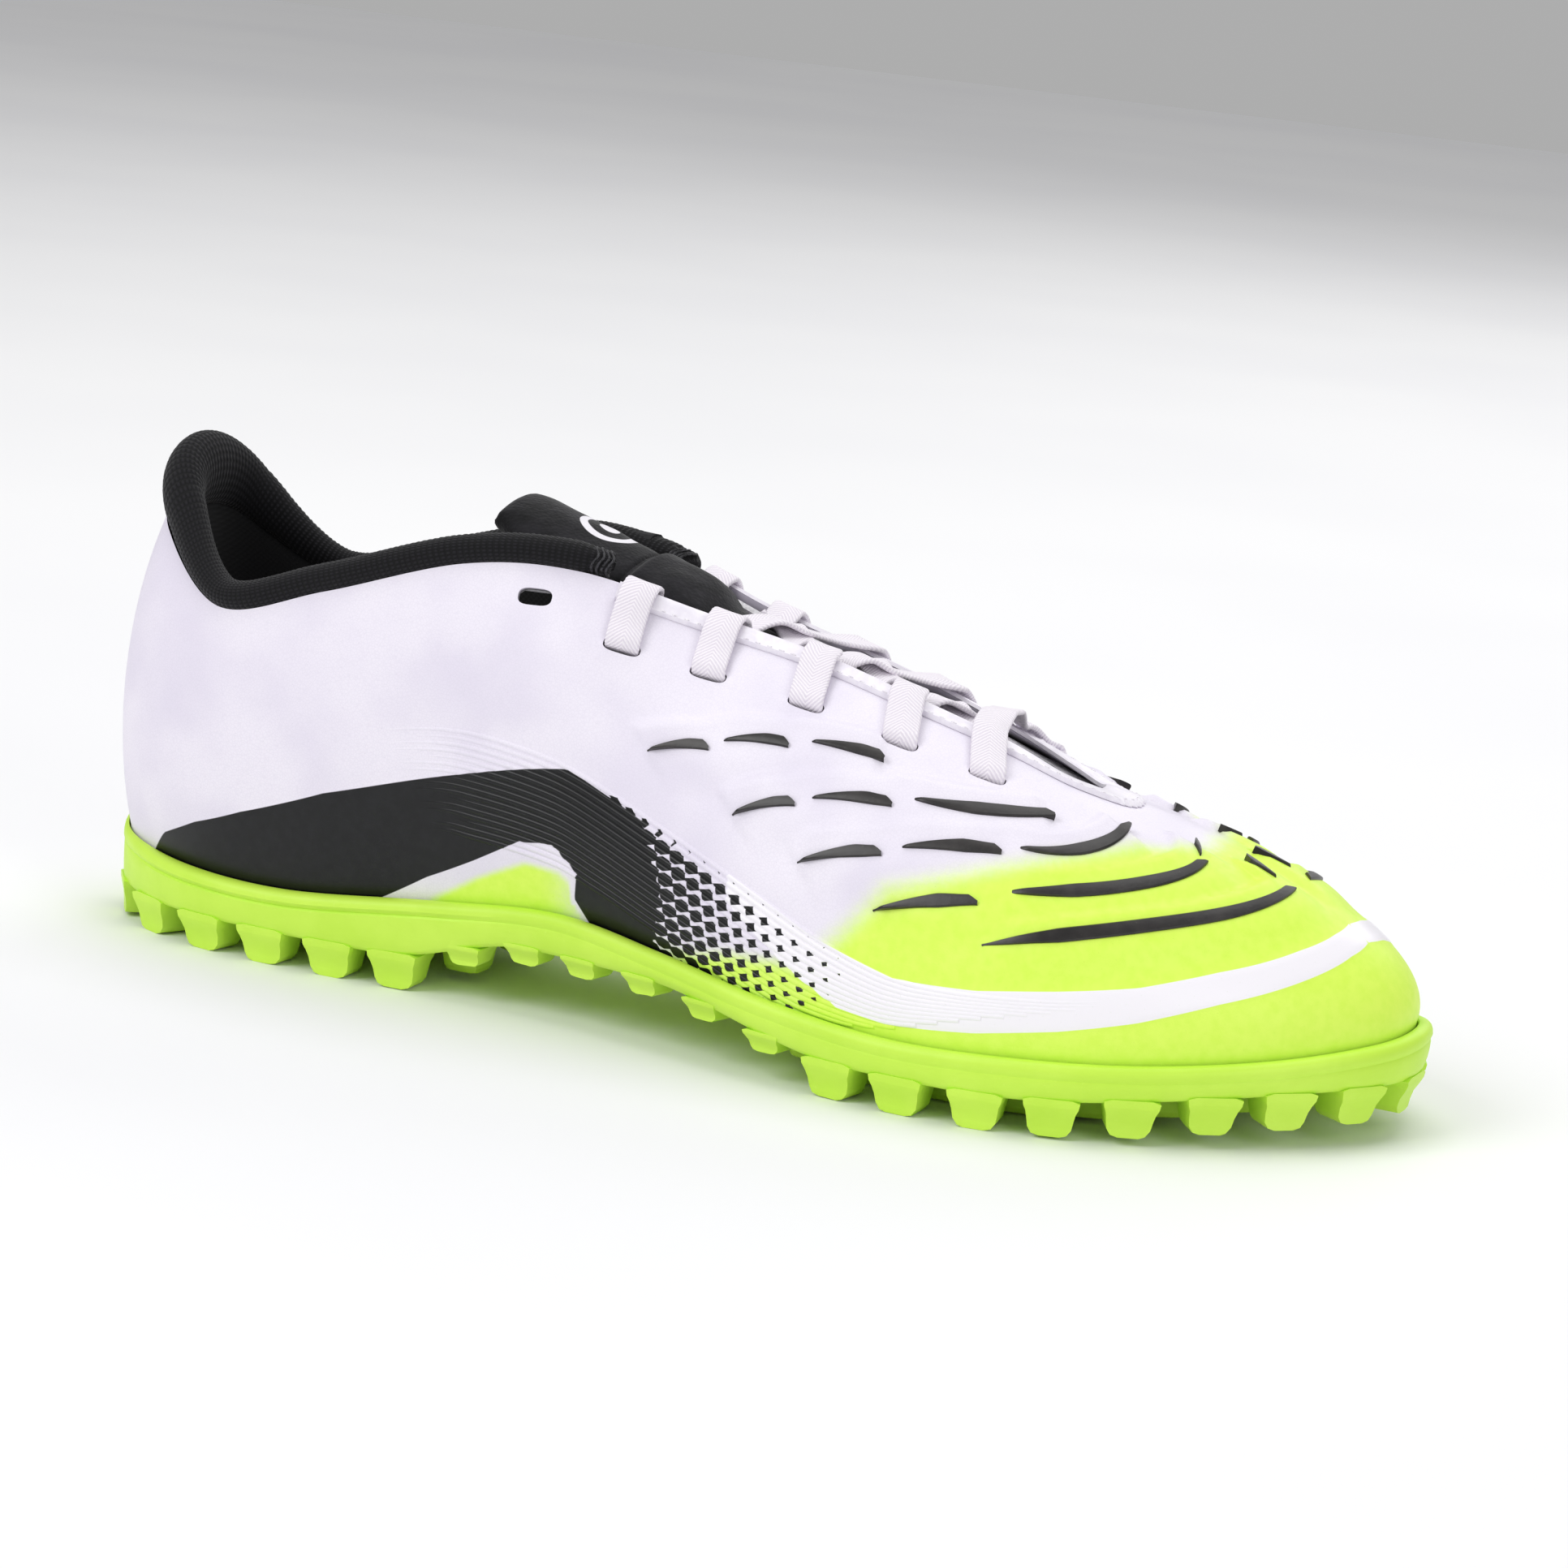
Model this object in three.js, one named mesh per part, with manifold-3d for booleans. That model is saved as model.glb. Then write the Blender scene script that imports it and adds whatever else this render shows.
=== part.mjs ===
// Turf football shoe, right foot. Millimetres, +Z up, toe towards +X, medial side towards +Y.
// The upper is one surface laid round the foot: u runs once round the shoe (heel, lateral side, toe,
// medial side) and v runs from the feather line, where the upper meets the outsole, to the top line.
// Every layer of the upper is an offset of that surface, so the layers stay parallel.
import * as THREE from "three";
import { mergeVertices } from "three/addons/utils/BufferGeometryUtils.js";
import Module from "manifold-3d";

const wasm = await Module();
wasm.setup();

// ---- driving dimensions ----
const LENGTH = 288; // heel to toe over the outsole
const WIDTH = 99; // over the outsole at the ball of the foot
const HEIGHT = 103; // ground to the top of the heel tab, laces tied
const GAP = 0.4; // running gap between neighbouring layers
const SHELL_THICK = 1.3;
const BACKING_THICK = 1.1; // heel counter, toe puff, quarter foam, eyelet tape
const LINING_THICK = 0.8;
const LIP_DEPTH = 3.0; // how deep the upper stands in the outsole's tray
const LIP_THICK = 1.9;
const WALL_BULGE = 3.3; // outsole's side wall beyond the feather line
const BOARD_THICK = 1.2;
const SOCK_THICK = 3.0;
const SOCK_CLEAR = 1.6; // sockliner's edge to the lining
const STUD_HEIGHT = 7;
const STUD_ROOT = 11;
const STUD_TIP = 7.6;
const STUD_PITCH = 13.6;
const STUD_INSET = 3.8; // outer studs' middle to the feather line
const LACE_WIDTH = 7.2;
const LACE_THICK = 1.1;
const SLOT_WIDTH = LACE_WIDTH + 1.8;
const SLOT_HEIGHT = LACE_THICK + 2.7;
const LACE_CLEAR = 1.3; // lace above the tongue where it crosses
const LACE_CROSS = 1.7; // one crossing run above the other
const BAR_RISE = 3.2; // the bar at the toe end above the tongue
const TRIM_THICK = 0.6;
const FIN_WIDTH = 2.9;
const FIN_HEIGHT = 1.3;
const FIN_SEAT = 0.5; // underside of a fin above the upper
const COVER_THICK = 0.8;
const ROLL_HALF_HEIGHT = 2.7; // collar roll along the ankle
const HEEL_HALF_HEIGHT = 7.4; // collar roll at the heel tab
const ROLL_HALF_WIDTH = 3.6;
const HEEL_HALF_WIDTH = 4.8;
const TONGUE_HALF_WIDTH = 18.5;
const TAB_HALF_WIDTH = 16.5;
const TONGUE_PAD = 2.4;

// ---- the last: one row for each station round the shoe, drawn at 288 x 99 x 103 ----
// feather line point, lower handle, upper handle, top line point
const STATIONS = [
  [[3, 0, 21], [-5, 0, 23], [-3, 0, -18], [7.5, 0, 88]],
  [[10, -18, 19], [-3, -6, 23], [-4, -7, -16], [12.5, -16, 84.5]],
  [[30, -29, 17], [0, -5, 20], [0, -5, -14], [33, -28.5, 72]],
  [[56, -32, 16.5], [0, -5, 20], [0, -6, -16], [58, -29, 79]],
  [[90, -31, 20], [0, -7, 22], [0, -9, -20], [88, -27, 89]],
  [[118, -32, 22.5], [0, -9, 20], [0, -13, -18], [112, -23, 90.5]],
  [[144, -37, 20], [0, -9, 20], [0, -15, -14], [137, -15, 84.5]],
  [[170, -43, 16.5], [0, -7, 20], [2, -17, -10], [161, -12, 79.5]],
  [[196, -46.5, 14.5], [0, -5, 18], [6, -18, -8], [181, -11, 74]],
  [[220, -45, 15], [1, -5, 17], [10, -18, -6], [200, -8.5, 68]],
  [[244, -36.5, 16], [2, -4, 16], [20, -16, -4], [211, -5, 62.5]],
  [[266, -21, 18], [4, -3, 16], [30, -10, -6], [216, -0.5, 60]],
  [[281, -3, 20.5], [4, 0, 16], [36, -2, -7], [217.5, 3, 59]],
  [[284, 13, 21.5], [4, 2, 16], [34, 5, -7], [217, 7, 59]],
  [[277, 29, 19.5], [2, 4, 17], [28, 12, -6], [214.5, 10, 58.5]],
  [[258, 40, 17], [0, 6, 17], [18, 15, -5.5], [208, 12.5, 60.5]],
  [[232, 44.5, 15], [0, 6, 17], [8, 18, -6], [196, 14, 65]],
  [[204, 45.5, 14.5], [0, 7, 18], [2, 17, -8.5], [179, 14.5, 71]],
  [[174, 39.5, 16.5], [0, 8, 20], [0, 17, -10], [159, 15, 76.5]],
  [[146, 31, 20.5], [0, 9, 22], [0, 15, -14], [137, 16.5, 82]],
  [[118, 25.5, 23], [0, 10, 22], [0, 13, -18], [112, 22.5, 88]],
  [[90, 25.5, 20], [0, 9, 22], [0, 9, -18], [88, 27, 87]],
  [[56, 28, 16.5], [0, 6, 20], [0, 6, -14], [58, 28.5, 78.5]],
  [[30, 27, 17], [0, 5, 20], [0, 5, -14], [33, 28, 72]],
  [[10, 17, 19], [-3, 6, 23], [-4, 7, -16], [12.5, 16, 84.5]],
];
// crest of the tongue from its seam under the vamp to its tip: x, z
const TONGUE_CREST = [
  [227, 51], [214, 57], [203, 61.5], [184, 68], [164, 75], [146, 79], [137, 83],
  [128, 88], [120, 90.5], [112, 93.5], [101, 97], [87, 101],
];
const TONGUE_FALL = 0.026; // how the tongue falls away from its crest to each side
const MEDIAL_FALL = 0.013; // and further towards the lower medial eyestay
const TONGUE_SPLIT = 8.15; // crest row where the free tab begins, behind the top eyelets
const TOE_SPRING = 5; // lift of the last studs under the toe
const ARCH_RISE = 7; // lift of the sole at the waist
const WAIST = [92, 172]; // along the shoe, where only small outer studs stand
const SMALL_STUD = 0.75; // small stud against a full one

// ---- lacing and fins, as u, v on the upper; the medial side mirrors the lateral side ----
const EYELETS = [8.8, 7.95, 7.02, 6.17, 5.47];
const SPARE_EYELET = 4.69;
const SLOT_V = 0.81;
const COLLAR_END = 5.25;
const TRIM_END = 5.32;
const SPARE_V = 0.9;
const FINS = [
  // name, start u, start v, end u, end v, bow of the middle in v
  ["row1_a", 5.81, 0.555, 6.32, 0.612, 0.01],
  ["row1_b", 6.4, 0.63, 6.97, 0.679, 0.01],
  ["row1_c", 7.12, 0.7, 7.83, 0.74, 0.005],
  ["row2_a", 6.59, 0.461, 7.11, 0.541, 0.01],
  ["row2_b", 7.21, 0.558, 7.95, 0.626, 0.01],
  ["row2_c", 8.07, 0.651, 9.45, 0.743, -0.01],
  ["row3_a", 7.19, 0.401, 7.9, 0.499, 0.01],
  ["row3_b", 8.03, 0.518, 8.93, 0.588, 0.01],
  ["row3_c", 9.03, 0.607, 10.41, 0.785, -0.042],
  ["row4_a", 7.87, 0.353, 8.74, 0.442, 0.01],
  ["row4_b", 8.91, 0.476, 11.14, 0.682, -0.018],
  ["row4_c", 11.2, 0.7, 11.5, 0.765, 0],
  ["row5_a", 8.8, 0.333, 12.06, 0.575, 0.02],
  ["row5_b", 12.08, 0.61, 12.12, 0.695, 0],
];

const BASE = { length: 288, width: 99, height: 103 };
const STATION_COUNT = STATIONS.length;
const AROUND = 2 * STATION_COUNT; // steps round the shoe
const ROWS = 10; // steps from the feather line to the top line
const UP = new THREE.Vector3(0, 0, 1);

const v3 = (x, y, z) => new THREE.Vector3(x, y, z);
const scaled = ([x, y, z]) => v3(
  x * (LENGTH / BASE.length),
  y * (WIDTH / BASE.width),
  z * (HEIGHT / BASE.height),
);
const LINES = [0, 1, 2, 3].map((line) => STATIONS.map((row) => scaled(row[line])));
const clamp = THREE.MathUtils.clamp;
const smooth = THREE.MathUtils.smoothstep;

// closed Catmull-Rom line through the station points
function ring(points, u) {
  const count = points.length;
  const wrapped = ((u % count) + count) % count;
  const start = Math.floor(wrapped);
  const t = wrapped - start;
  const [a, b, c, d] = [-1, 0, 1, 2].map((step) => points[(start + step + count) % count]);
  const weights = [
    -t + 2 * t * t - t ** 3,
    2 - 5 * t * t + 3 * t ** 3,
    t + 4 * t * t - 3 * t ** 3,
    -t * t + t ** 3,
  ];
  const out = v3(0, 0, 0);
  [a, b, c, d].forEach((point, index) => out.addScaledVector(point, weights[index] / 2));
  return out;
}

// the upper's outer face
function upper(u, v) {
  const [feather, low, high, top] = LINES.map((line) => ring(line, u));
  return v3(0, 0, 0)
    .addScaledVector(feather, (1 - v) ** 3)
    .addScaledVector(low.add(feather), 3 * (1 - v) ** 2 * v)
    .addScaledVector(high.add(top), 3 * (1 - v) * v * v)
    .addScaledVector(top, v ** 3);
}

function normalOf(surface, a, b, stepA, stepB) {
  const alongA = surface(a + stepA, b).sub(surface(a - stepA, b));
  const alongB = surface(a, b + stepB).sub(surface(a, b - stepB));
  return alongA.cross(alongB).normalize();
}

// a point of the upper, moved out along the surface's normal
function onUpper(u, v, out) {
  const normal = normalOf(upper, u, v, 0.02, 0.005);
  if (v <= 0) normal.setZ(0).normalize();
  return upper(u, v).addScaledVector(normal, out);
}

// the upper's foot, standing straight down into the outsole's tray
function foot(u, out) {
  return onUpper(u, 0, out).addScaledVector(UP, -LIP_DEPTH);
}

const tongueLine = TONGUE_CREST.map(([x, z]) => scaled([x, 0, z]));
const tongueLast = tongueLine.length - 1;

function tongueCrest(row) {
  const start = clamp(Math.floor(row), 0, tongueLast - 1);
  const t = row - start;
  const near = (step) => tongueLine[clamp(start + step, 0, tongueLast)];
  const [a, b, c, d] = [near(-1), near(0), near(1), near(2)];
  const out = v3(0, 0, 0);
  out.addScaledVector(a, (-t + 2 * t * t - t ** 3) / 2);
  out.addScaledVector(b, (2 - 5 * t * t + 3 * t ** 3) / 2);
  out.addScaledVector(c, (t + 4 * t * t - 3 * t ** 3) / 2);
  out.addScaledVector(d, (-t * t + t ** 3) / 2);
  return out;
}

// the tongue's outer face: row runs from the seam to the tip, across in millimetres
function tongue(row, across) {
  const crest = tongueCrest(row);
  const along = tongueCrest(row + 0.05).sub(tongueCrest(row - 0.05)).normalize();
  const lift = v3(0, 1, 0).cross(along).normalize();
  if (lift.z < 0) lift.negate();
  const saddle = 0.15 + 0.85 * smooth(row, 4, 6) - 0.8 * smooth(row, 7, 10);
  const side = Math.abs(across) * (BASE.width / WIDTH);
  const fall = across > 0 ? TONGUE_FALL + MEDIAL_FALL : TONGUE_FALL;
  const drop = fall * side ** 2 + 0.014 * saddle * Math.max(0, side - 8) ** 3;
  return crest.add(v3(0, across, 0)).addScaledVector(lift, -drop);
}

function onTongue(row, across, out) {
  const normal = normalOf(tongue, row, across, 0.03, 0.1);
  if (normal.z < 0) normal.negate();
  return tongue(row, across).addScaledVector(normal, out);
}

// ---- building closed bodies ----
function body(points, triangles) {
  const geometry = new THREE.BufferGeometry();
  const flat = points.flatMap((p) => [p.x, p.y, p.z]);
  geometry.setAttribute("position", new THREE.Float32BufferAttribute(flat, 3));
  let volume = 0;
  for (const [a, b, c] of triangles) {
    volume += points[a].dot(points[b].clone().cross(points[c]));
  }
  const faces = volume < 0 ? triangles.map(([a, b, c]) => [a, c, b]) : triangles;
  geometry.setIndex(faces.flat());
  return solidOf(toManifold(geometry));
}

function toManifold(geometry) {
  const bare = geometry.clone();
  bare.deleteAttribute("normal");
  bare.deleteAttribute("uv");
  const merged = mergeVertices(bare, 1e-4);
  const index = [];
  const raw = merged.index.array;
  for (let i = 0; i < raw.length; i += 3) {
    const [a, b, c] = [raw[i], raw[i + 1], raw[i + 2]];
    if (a !== b && b !== c && c !== a) index.push(a, b, c);
  }
  return new wasm.Manifold(new wasm.Mesh({
    numProp: 3,
    vertProperties: new Float32Array(merged.attributes.position.array),
    triVerts: new Uint32Array(index),
  }));
}

function solidOf(manifold) {
  const mesh = manifold.getMesh();
  const geometry = new THREE.BufferGeometry();
  geometry.setAttribute("position", new THREE.BufferAttribute(new Float32Array(mesh.vertProperties), 3));
  geometry.setIndex(new THREE.BufferAttribute(new Uint32Array(mesh.triVerts), 1));
  return geometry;
}

// a sheet with thickness: two grids of points, faced and edged; closed joins the last row to the first
function sheet(outer, inner, closed = false) {
  const rows = outer.length;
  const columns = outer[0].length;
  const points = [...outer.flat(), ...inner.flat()];
  const at = (side, i, j) => side * rows * columns + (i % rows) * columns + j;
  const triangles = [];
  const quad = (a, b, c, d) => triangles.push([a, b, c], [a, c, d]);
  const steps = closed ? rows : rows - 1;
  for (let i = 0; i < steps; i += 1) {
    for (let j = 0; j < columns - 1; j += 1) {
      quad(at(0, i, j), at(0, i + 1, j), at(0, i + 1, j + 1), at(0, i, j + 1));
      quad(at(1, i, j), at(1, i, j + 1), at(1, i + 1, j + 1), at(1, i + 1, j));
    }
    quad(at(0, i, 0), at(1, i, 0), at(1, i + 1, 0), at(0, i + 1, 0));
    const edge = columns - 1;
    quad(at(0, i, edge), at(0, i + 1, edge), at(1, i + 1, edge), at(1, i, edge));
  }
  if (!closed) {
    for (const i of [0, rows - 1]) {
      for (let j = 0; j < columns - 1; j += 1) {
        const face = [at(0, i, j), at(0, i, j + 1), at(1, i, j + 1), at(1, i, j)];
        if (i > 0) face.reverse();
        quad(...face);
      }
    }
  }
  return body(points, triangles);
}

// a bar through a row of convex sections
function loft(sections) {
  const count = sections[0].length;
  const triangles = [];
  for (let i = 0; i < sections.length - 1; i += 1) {
    for (let k = 0; k < count; k += 1) {
      const next = (k + 1) % count;
      const [a, b] = [i * count + k, i * count + next];
      triangles.push([a, b, b + count], [a, b + count, a + count]);
    }
  }
  const lastStart = (sections.length - 1) * count;
  for (let k = 1; k < count - 1; k += 1) {
    triangles.push([0, k + 1, k], [lastStart, lastStart + k, lastStart + k + 1]);
  }
  return body(sections.flat(), triangles);
}

// a plate through rings laid round the shoe, capped across from side to side
function plate(rings) {
  const count = rings[0].length;
  const triangles = [];
  for (let r = 0; r < rings.length - 1; r += 1) {
    for (let i = 0; i < count; i += 1) {
      const next = (i + 1) % count;
      const [a, b] = [r * count + i, r * count + next];
      triangles.push([a, b, b + count], [a, b + count, a + count]);
    }
  }
  const cap = (start, flip) => {
    for (let i = 0; i < count / 2; i += 1) {
      const [a, b, c, d] = [i, i + 1, count - i - 1, (count - i) % count].map((k) => start + k);
      const faces = [[a, b, c], [a, c, d]].filter((face) => new Set(face).size === 3);
      triangles.push(...(flip ? faces.map((face) => face.toReversed()) : faces));
    }
  };
  cap(0, true);
  cap((rings.length - 1) * count, false);
  return body(rings.flat(), triangles);
}

const range = (from, to, count) => Array.from(
  { length: count + 1 },
  (_, i) => from + ((to - from) * i) / count,
);
const knots = (from, to) => range(from, to, Math.max(1, Math.round((to - from) * ROWS)));

// one layer of the upper between two offsets; withFoot adds the part inside the outsole's tray
function layer(fromU, toU, fromV, toV, outside, thickness, withFoot = false) {
  const closed = toU - fromU >= STATION_COUNT;
  const steps = Math.round((toU - fromU) * (AROUND / STATION_COUNT));
  const all = range(fromU, toU, steps);
  const around = closed ? all.slice(0, -1) : all;
  const grid = (out) => around.map((u) => [
    ...(withFoot ? [foot(u, out)] : []),
    ...knots(fromV, toV).map((v) => onUpper(u, v, out)),
  ]);
  return sheet(grid(-outside), grid(-outside - thickness), closed);
}

// ---- outsole: tray, side wall and studs in one moulding ----
function soleLift(x) {
  const along = x * (BASE.length / LENGTH);
  const arch = ARCH_RISE * smooth(along, 78, 112) * (1 - smooth(along, 140, 190));
  const spring = TOE_SPRING * smooth(along, 215, 285);
  return arch + spring + 1.2 * (1 - smooth(along, 2, 20));
}

function outline(u, out) {
  return onUpper(u, 0, out);
}

function outsoleBody() {
  const around = range(0, STATION_COUNT, AROUND).slice(0, -1);
  const underside = (point) => point.setZ(soleLift(point.x) + STUD_HEIGHT);
  const lip = GAP + LIP_THICK;
  return plate([
    around.map((u) => underside(outline(u, 0.4))),
    around.map((u) => underside(outline(u, WALL_BULGE - 1)).addScaledVector(UP, 1.2)),
    around.map((u) => outline(u, WALL_BULGE).addScaledVector(UP, -LIP_DEPTH)),
    around.map((u) => outline(u, lip).addScaledVector(UP, 0.2)),
    around.map((u) => outline(u, GAP)),
    around.map((u) => foot(u, GAP).addScaledVector(UP, -GAP)),
  ]);
}

// places of the studs: an outer row along the edge, then inner rows, clear of each other
function studPlaces() {
  const places = [];
  const edge = range(0, STATION_COUNT, 4 * STATION_COUNT).map((u) => outline(u, 0).setZ(0));
  for (const inset of [0, 1, 2, 3].map((row) => STUD_INSET + row * STUD_PITCH)) {
    const walk = range(0, STATION_COUNT, 12 * STATION_COUNT)
      .map((u) => ({ u, at: outline(u, -inset).setZ(0) }));
    for (const { u, at } of walk) {
      const inside = Math.min(...edge.map((point) => point.distanceTo(at))) > inset - 0.4;
      const clear = places.every((other) => other.at.distanceTo(at) > STUD_PITCH);
      const alongShoe = at.x * (BASE.length / LENGTH);
      const waist = alongShoe > WAIST[0] && alongShoe < WAIST[1];
      if (!inside || !clear || (waist && inset > STUD_INSET)) continue;
      places.push({ u, at, small: waist });
    }
  }
  return places;
}

function stud({ u, at, small }) {
  const along = outline(u + 0.05, 0).sub(outline(u - 0.05, 0)).setZ(0).normalize();
  const side = v3(-along.y, along.x, 0);
  const lift = soleLift(at.x);
  const scale = small ? SMALL_STUD : 1;
  const tip = small ? lift + STUD_HEIGHT * 0.5 : lift;
  const section = (size, z) => {
    const half = size / 2;
    const corners = [[half, half], [-half, half], [-half, -half], [half, -half]];
    const corner = ([a, b]) => v3(at.x, at.y, z).addScaledVector(along, a).addScaledVector(side, b);
    return corners.map(corner);
  };
  return loft([section(STUD_TIP * scale, tip), section(STUD_ROOT * scale, lift + STUD_HEIGHT + 1)]);
}

function outsole() {
  const studs = studPlaces().map((place) => toManifold(stud(place)));
  return solidOf(wasm.Manifold.union([toManifold(outsoleBody()), ...studs]));
}

// ---- footbed ----
function footbed(inset, low, high) {
  const around = range(0, STATION_COUNT, AROUND).slice(0, -1);
  const ringAt = (up) => around.map((u) => foot(u, -inset).addScaledVector(UP, up));
  return plate([ringAt(low), ringAt(high)]);
}

// ---- upper shell with its lace slots ----
function slotCutter(u, v) {
  const at = onUpper(u, v, 0);
  const normal = normalOf(upper, u, v, 0.02, 0.005);
  const along = upper(u + 0.05, v).sub(upper(u - 0.05, v)).normalize();
  const across = normal.clone().cross(along);
  const half = SLOT_WIDTH / 2;
  const rise = SLOT_HEIGHT / 2;
  const round = rise * 0.6;
  const corners = [
    [half, rise - round], [half - round, rise], [-half + round, rise], [-half, rise - round],
    [-half, -rise + round], [-half + round, -rise], [half - round, -rise], [half, -rise + round],
  ];
  const section = (out) => corners.map(([a, b]) => at.clone()
    .addScaledVector(normal, out).addScaledVector(along, a).addScaledVector(across, b));
  return toManifold(loft([section(-9), section(4)]));
}

function withSlots(geometry, places) {
  let solid = toManifold(geometry);
  for (const [u, v] of places) solid = solid.subtract(slotCutter(u, v));
  return solidOf(solid);
}

const medial = (u) => STATION_COUNT - u;
const slotPlaces = [...EYELETS.map((u) => [u, SLOT_V]), [SPARE_EYELET, SPARE_V]];
const allSlots = [...slotPlaces, ...slotPlaces.map(([u, v]) => [medial(u), v])];

// ---- collar roll: foam core in a knit cover, open along its seam above the shell ----
function rollSection(u, shrink, from, to, steps) {
  const top = upper(u, 1);
  const along = upper(u + 0.03, 1).sub(upper(u - 0.03, 1)).normalize();
  const outward = normalOf(upper, u, 0.97, 0.02, 0.005).setZ(0).normalize();
  const rise = outward.clone().cross(along).normalize();
  if (rise.z < 0) rise.negate();
  const heel = Math.abs(u) < 2 ? Math.cos((Math.PI * u) / 4) ** 2 : 0;
  const half = THREE.MathUtils.lerp(ROLL_HALF_HEIGHT, HEEL_HALF_HEIGHT, heel);
  const wide = THREE.MathUtils.lerp(ROLL_HALF_WIDTH, HEEL_HALF_WIDTH, heel);
  const middle = top.clone().addScaledVector(rise, half + GAP).addScaledVector(outward, 1.4 - wide);
  return range(from, to, steps).map((angle) => middle.clone()
    .addScaledVector(outward, (wide - shrink) * Math.cos(angle))
    .addScaledVector(rise, (half - shrink) * Math.sin(angle)));
}

const collarRows = range(-COLLAR_END, COLLAR_END, 26);
const seam = -Math.PI / 2;
const SEAM_OPEN = 0.35; // half of the gap at the seam, in radians

function collarCover() {
  const from = seam + SEAM_OPEN;
  const to = seam + 2 * Math.PI - SEAM_OPEN;
  const grid = (shrink) => collarRows.map((u) => rollSection(u, shrink, from, to, 9));
  return sheet(grid(0), grid(COVER_THICK));
}

function collarFoam() {
  const core = COVER_THICK + GAP;
  const around = (2 * Math.PI * 9) / 10;
  return loft(collarRows.slice(1, -1).map((u) => rollSection(u, core, seam, seam + around, 9)));
}

// ---- tongue: cover, foam and lining, split where the free tab bends ----
function tongueLayer(fromRow, toRow, outside, thickness, margin) {
  const rows = range(fromRow, toRow, Math.max(3, Math.round((toRow - fromRow) * 1.25)));
  const halfAt = (row) => {
    const body = THREE.MathUtils.lerp(TONGUE_HALF_WIDTH, TAB_HALF_WIDTH, smooth(row, 4, 6));
    const seamEnd = THREE.MathUtils.lerp(9, body, smooth(row, -0.5, 3));
    const tipRound = 1 - 0.32 * smooth(row, tongueLast - 1.4, tongueLast) ** 2;
    return (seamEnd * tipRound - margin) * (WIDTH / BASE.width);
  };
  const sides = range(-1, 1, 8);
  const grid = (out) => rows.map((row) => sides.map((side) => onTongue(row, side * halfAt(row), out)));
  return sheet(grid(-outside), grid(-outside - thickness));
}

const TONGUE_GAP = 0.9; // the tongue bends more than the upper, so its layers stand further apart
const padDepth = COVER_THICK + TONGUE_GAP;
const tongueLiningDepth = padDepth + TONGUE_PAD + TONGUE_GAP;
const tongueLayers = [
  ["cover", 0, COVER_THICK, 0],
  ["foam", padDepth, TONGUE_PAD, 1.8],
  ["lining", tongueLiningDepth, LINING_THICK, 0.4],
];

// ---- eyestay trim and backing ----
function eyestayTrim() {
  const around = range(TRIM_END, medial(TRIM_END), 40);
  const grid = (out) => around.map((u) => [0.93, 0.965, 1].map((v) => onUpper(u, v, out)));
  return sheet(grid(GAP + TRIM_THICK), grid(GAP));
}

const backingDepth = SHELL_THICK + GAP;
const liningDepth = backingDepth + BACKING_THICK + GAP;

// ---- lace: one flat ribbon, a bar at the toe end, three crossings and two wrapped loops ----
const LACE_UNDER = -(backingDepth + BACKING_THICK + GAP + LACE_THICK / 2);
const LACE_OVER = 0.45 + LACE_THICK / 2;
const LACE_TRIM = GAP + TRIM_THICK + 0.9 + LACE_THICK / 2;
const LACE_TAIL = -(liningDepth + LINING_THICK + 1.6 + LACE_THICK / 2);

// a ribbon frame: middle and the direction of its width, always towards the toe
function laceOn(u, v, out, inward = 0) {
  const along = upper(u + 0.05, v).sub(upper(u - 0.05, v)).normalize();
  if (along.x < 0) along.negate();
  const point = onUpper(u, v, out);
  const middle = v3(point.x, 0.5 * (upper(u, 1).y + upper(medial(u), 1).y), point.z);
  const shift = inward * (WIDTH / BASE.width);
  if (inward) point.addScaledVector(middle.sub(point).setZ(0).normalize(), shift);
  return { point, wide: along };
}

const tongueGrid = range(0, tongueLast, 110)
  .flatMap((row) => range(-TONGUE_HALF_WIDTH, TONGUE_HALF_WIDTH, 38).map((across) => tongue(row, across)));

function tongueHeight(x, y) {
  const away = (point) => Math.hypot(point.x - x, point.y - y);
  return tongueGrid.reduce((best, point) => (away(point) < away(best) ? point : best)).z;
}

// across the tongue between two edge frames, raised above it
function crossing(from, to, raise) {
  const run = to.point.clone().sub(from.point);
  const wide = v3(run.y, -run.x, 0).normalize();
  if (wide.x < 0) wide.negate();
  return [0.3, 0.5, 0.7].map((t) => {
    const point = from.point.clone().lerp(to.point, t);
    const edges = [-1, 0, 1].map((side) => point.clone().addScaledVector(wide, (side * LACE_WIDTH) / 2));
    const rest = Math.max(...edges.map(({ x, y }) => tongueHeight(x, y))) + LACE_CLEAR + LACE_THICK / 2;
    point.z = Math.max(point.z - 1.2, rest) + raise;
    return { point, wide };
  });
}

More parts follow.
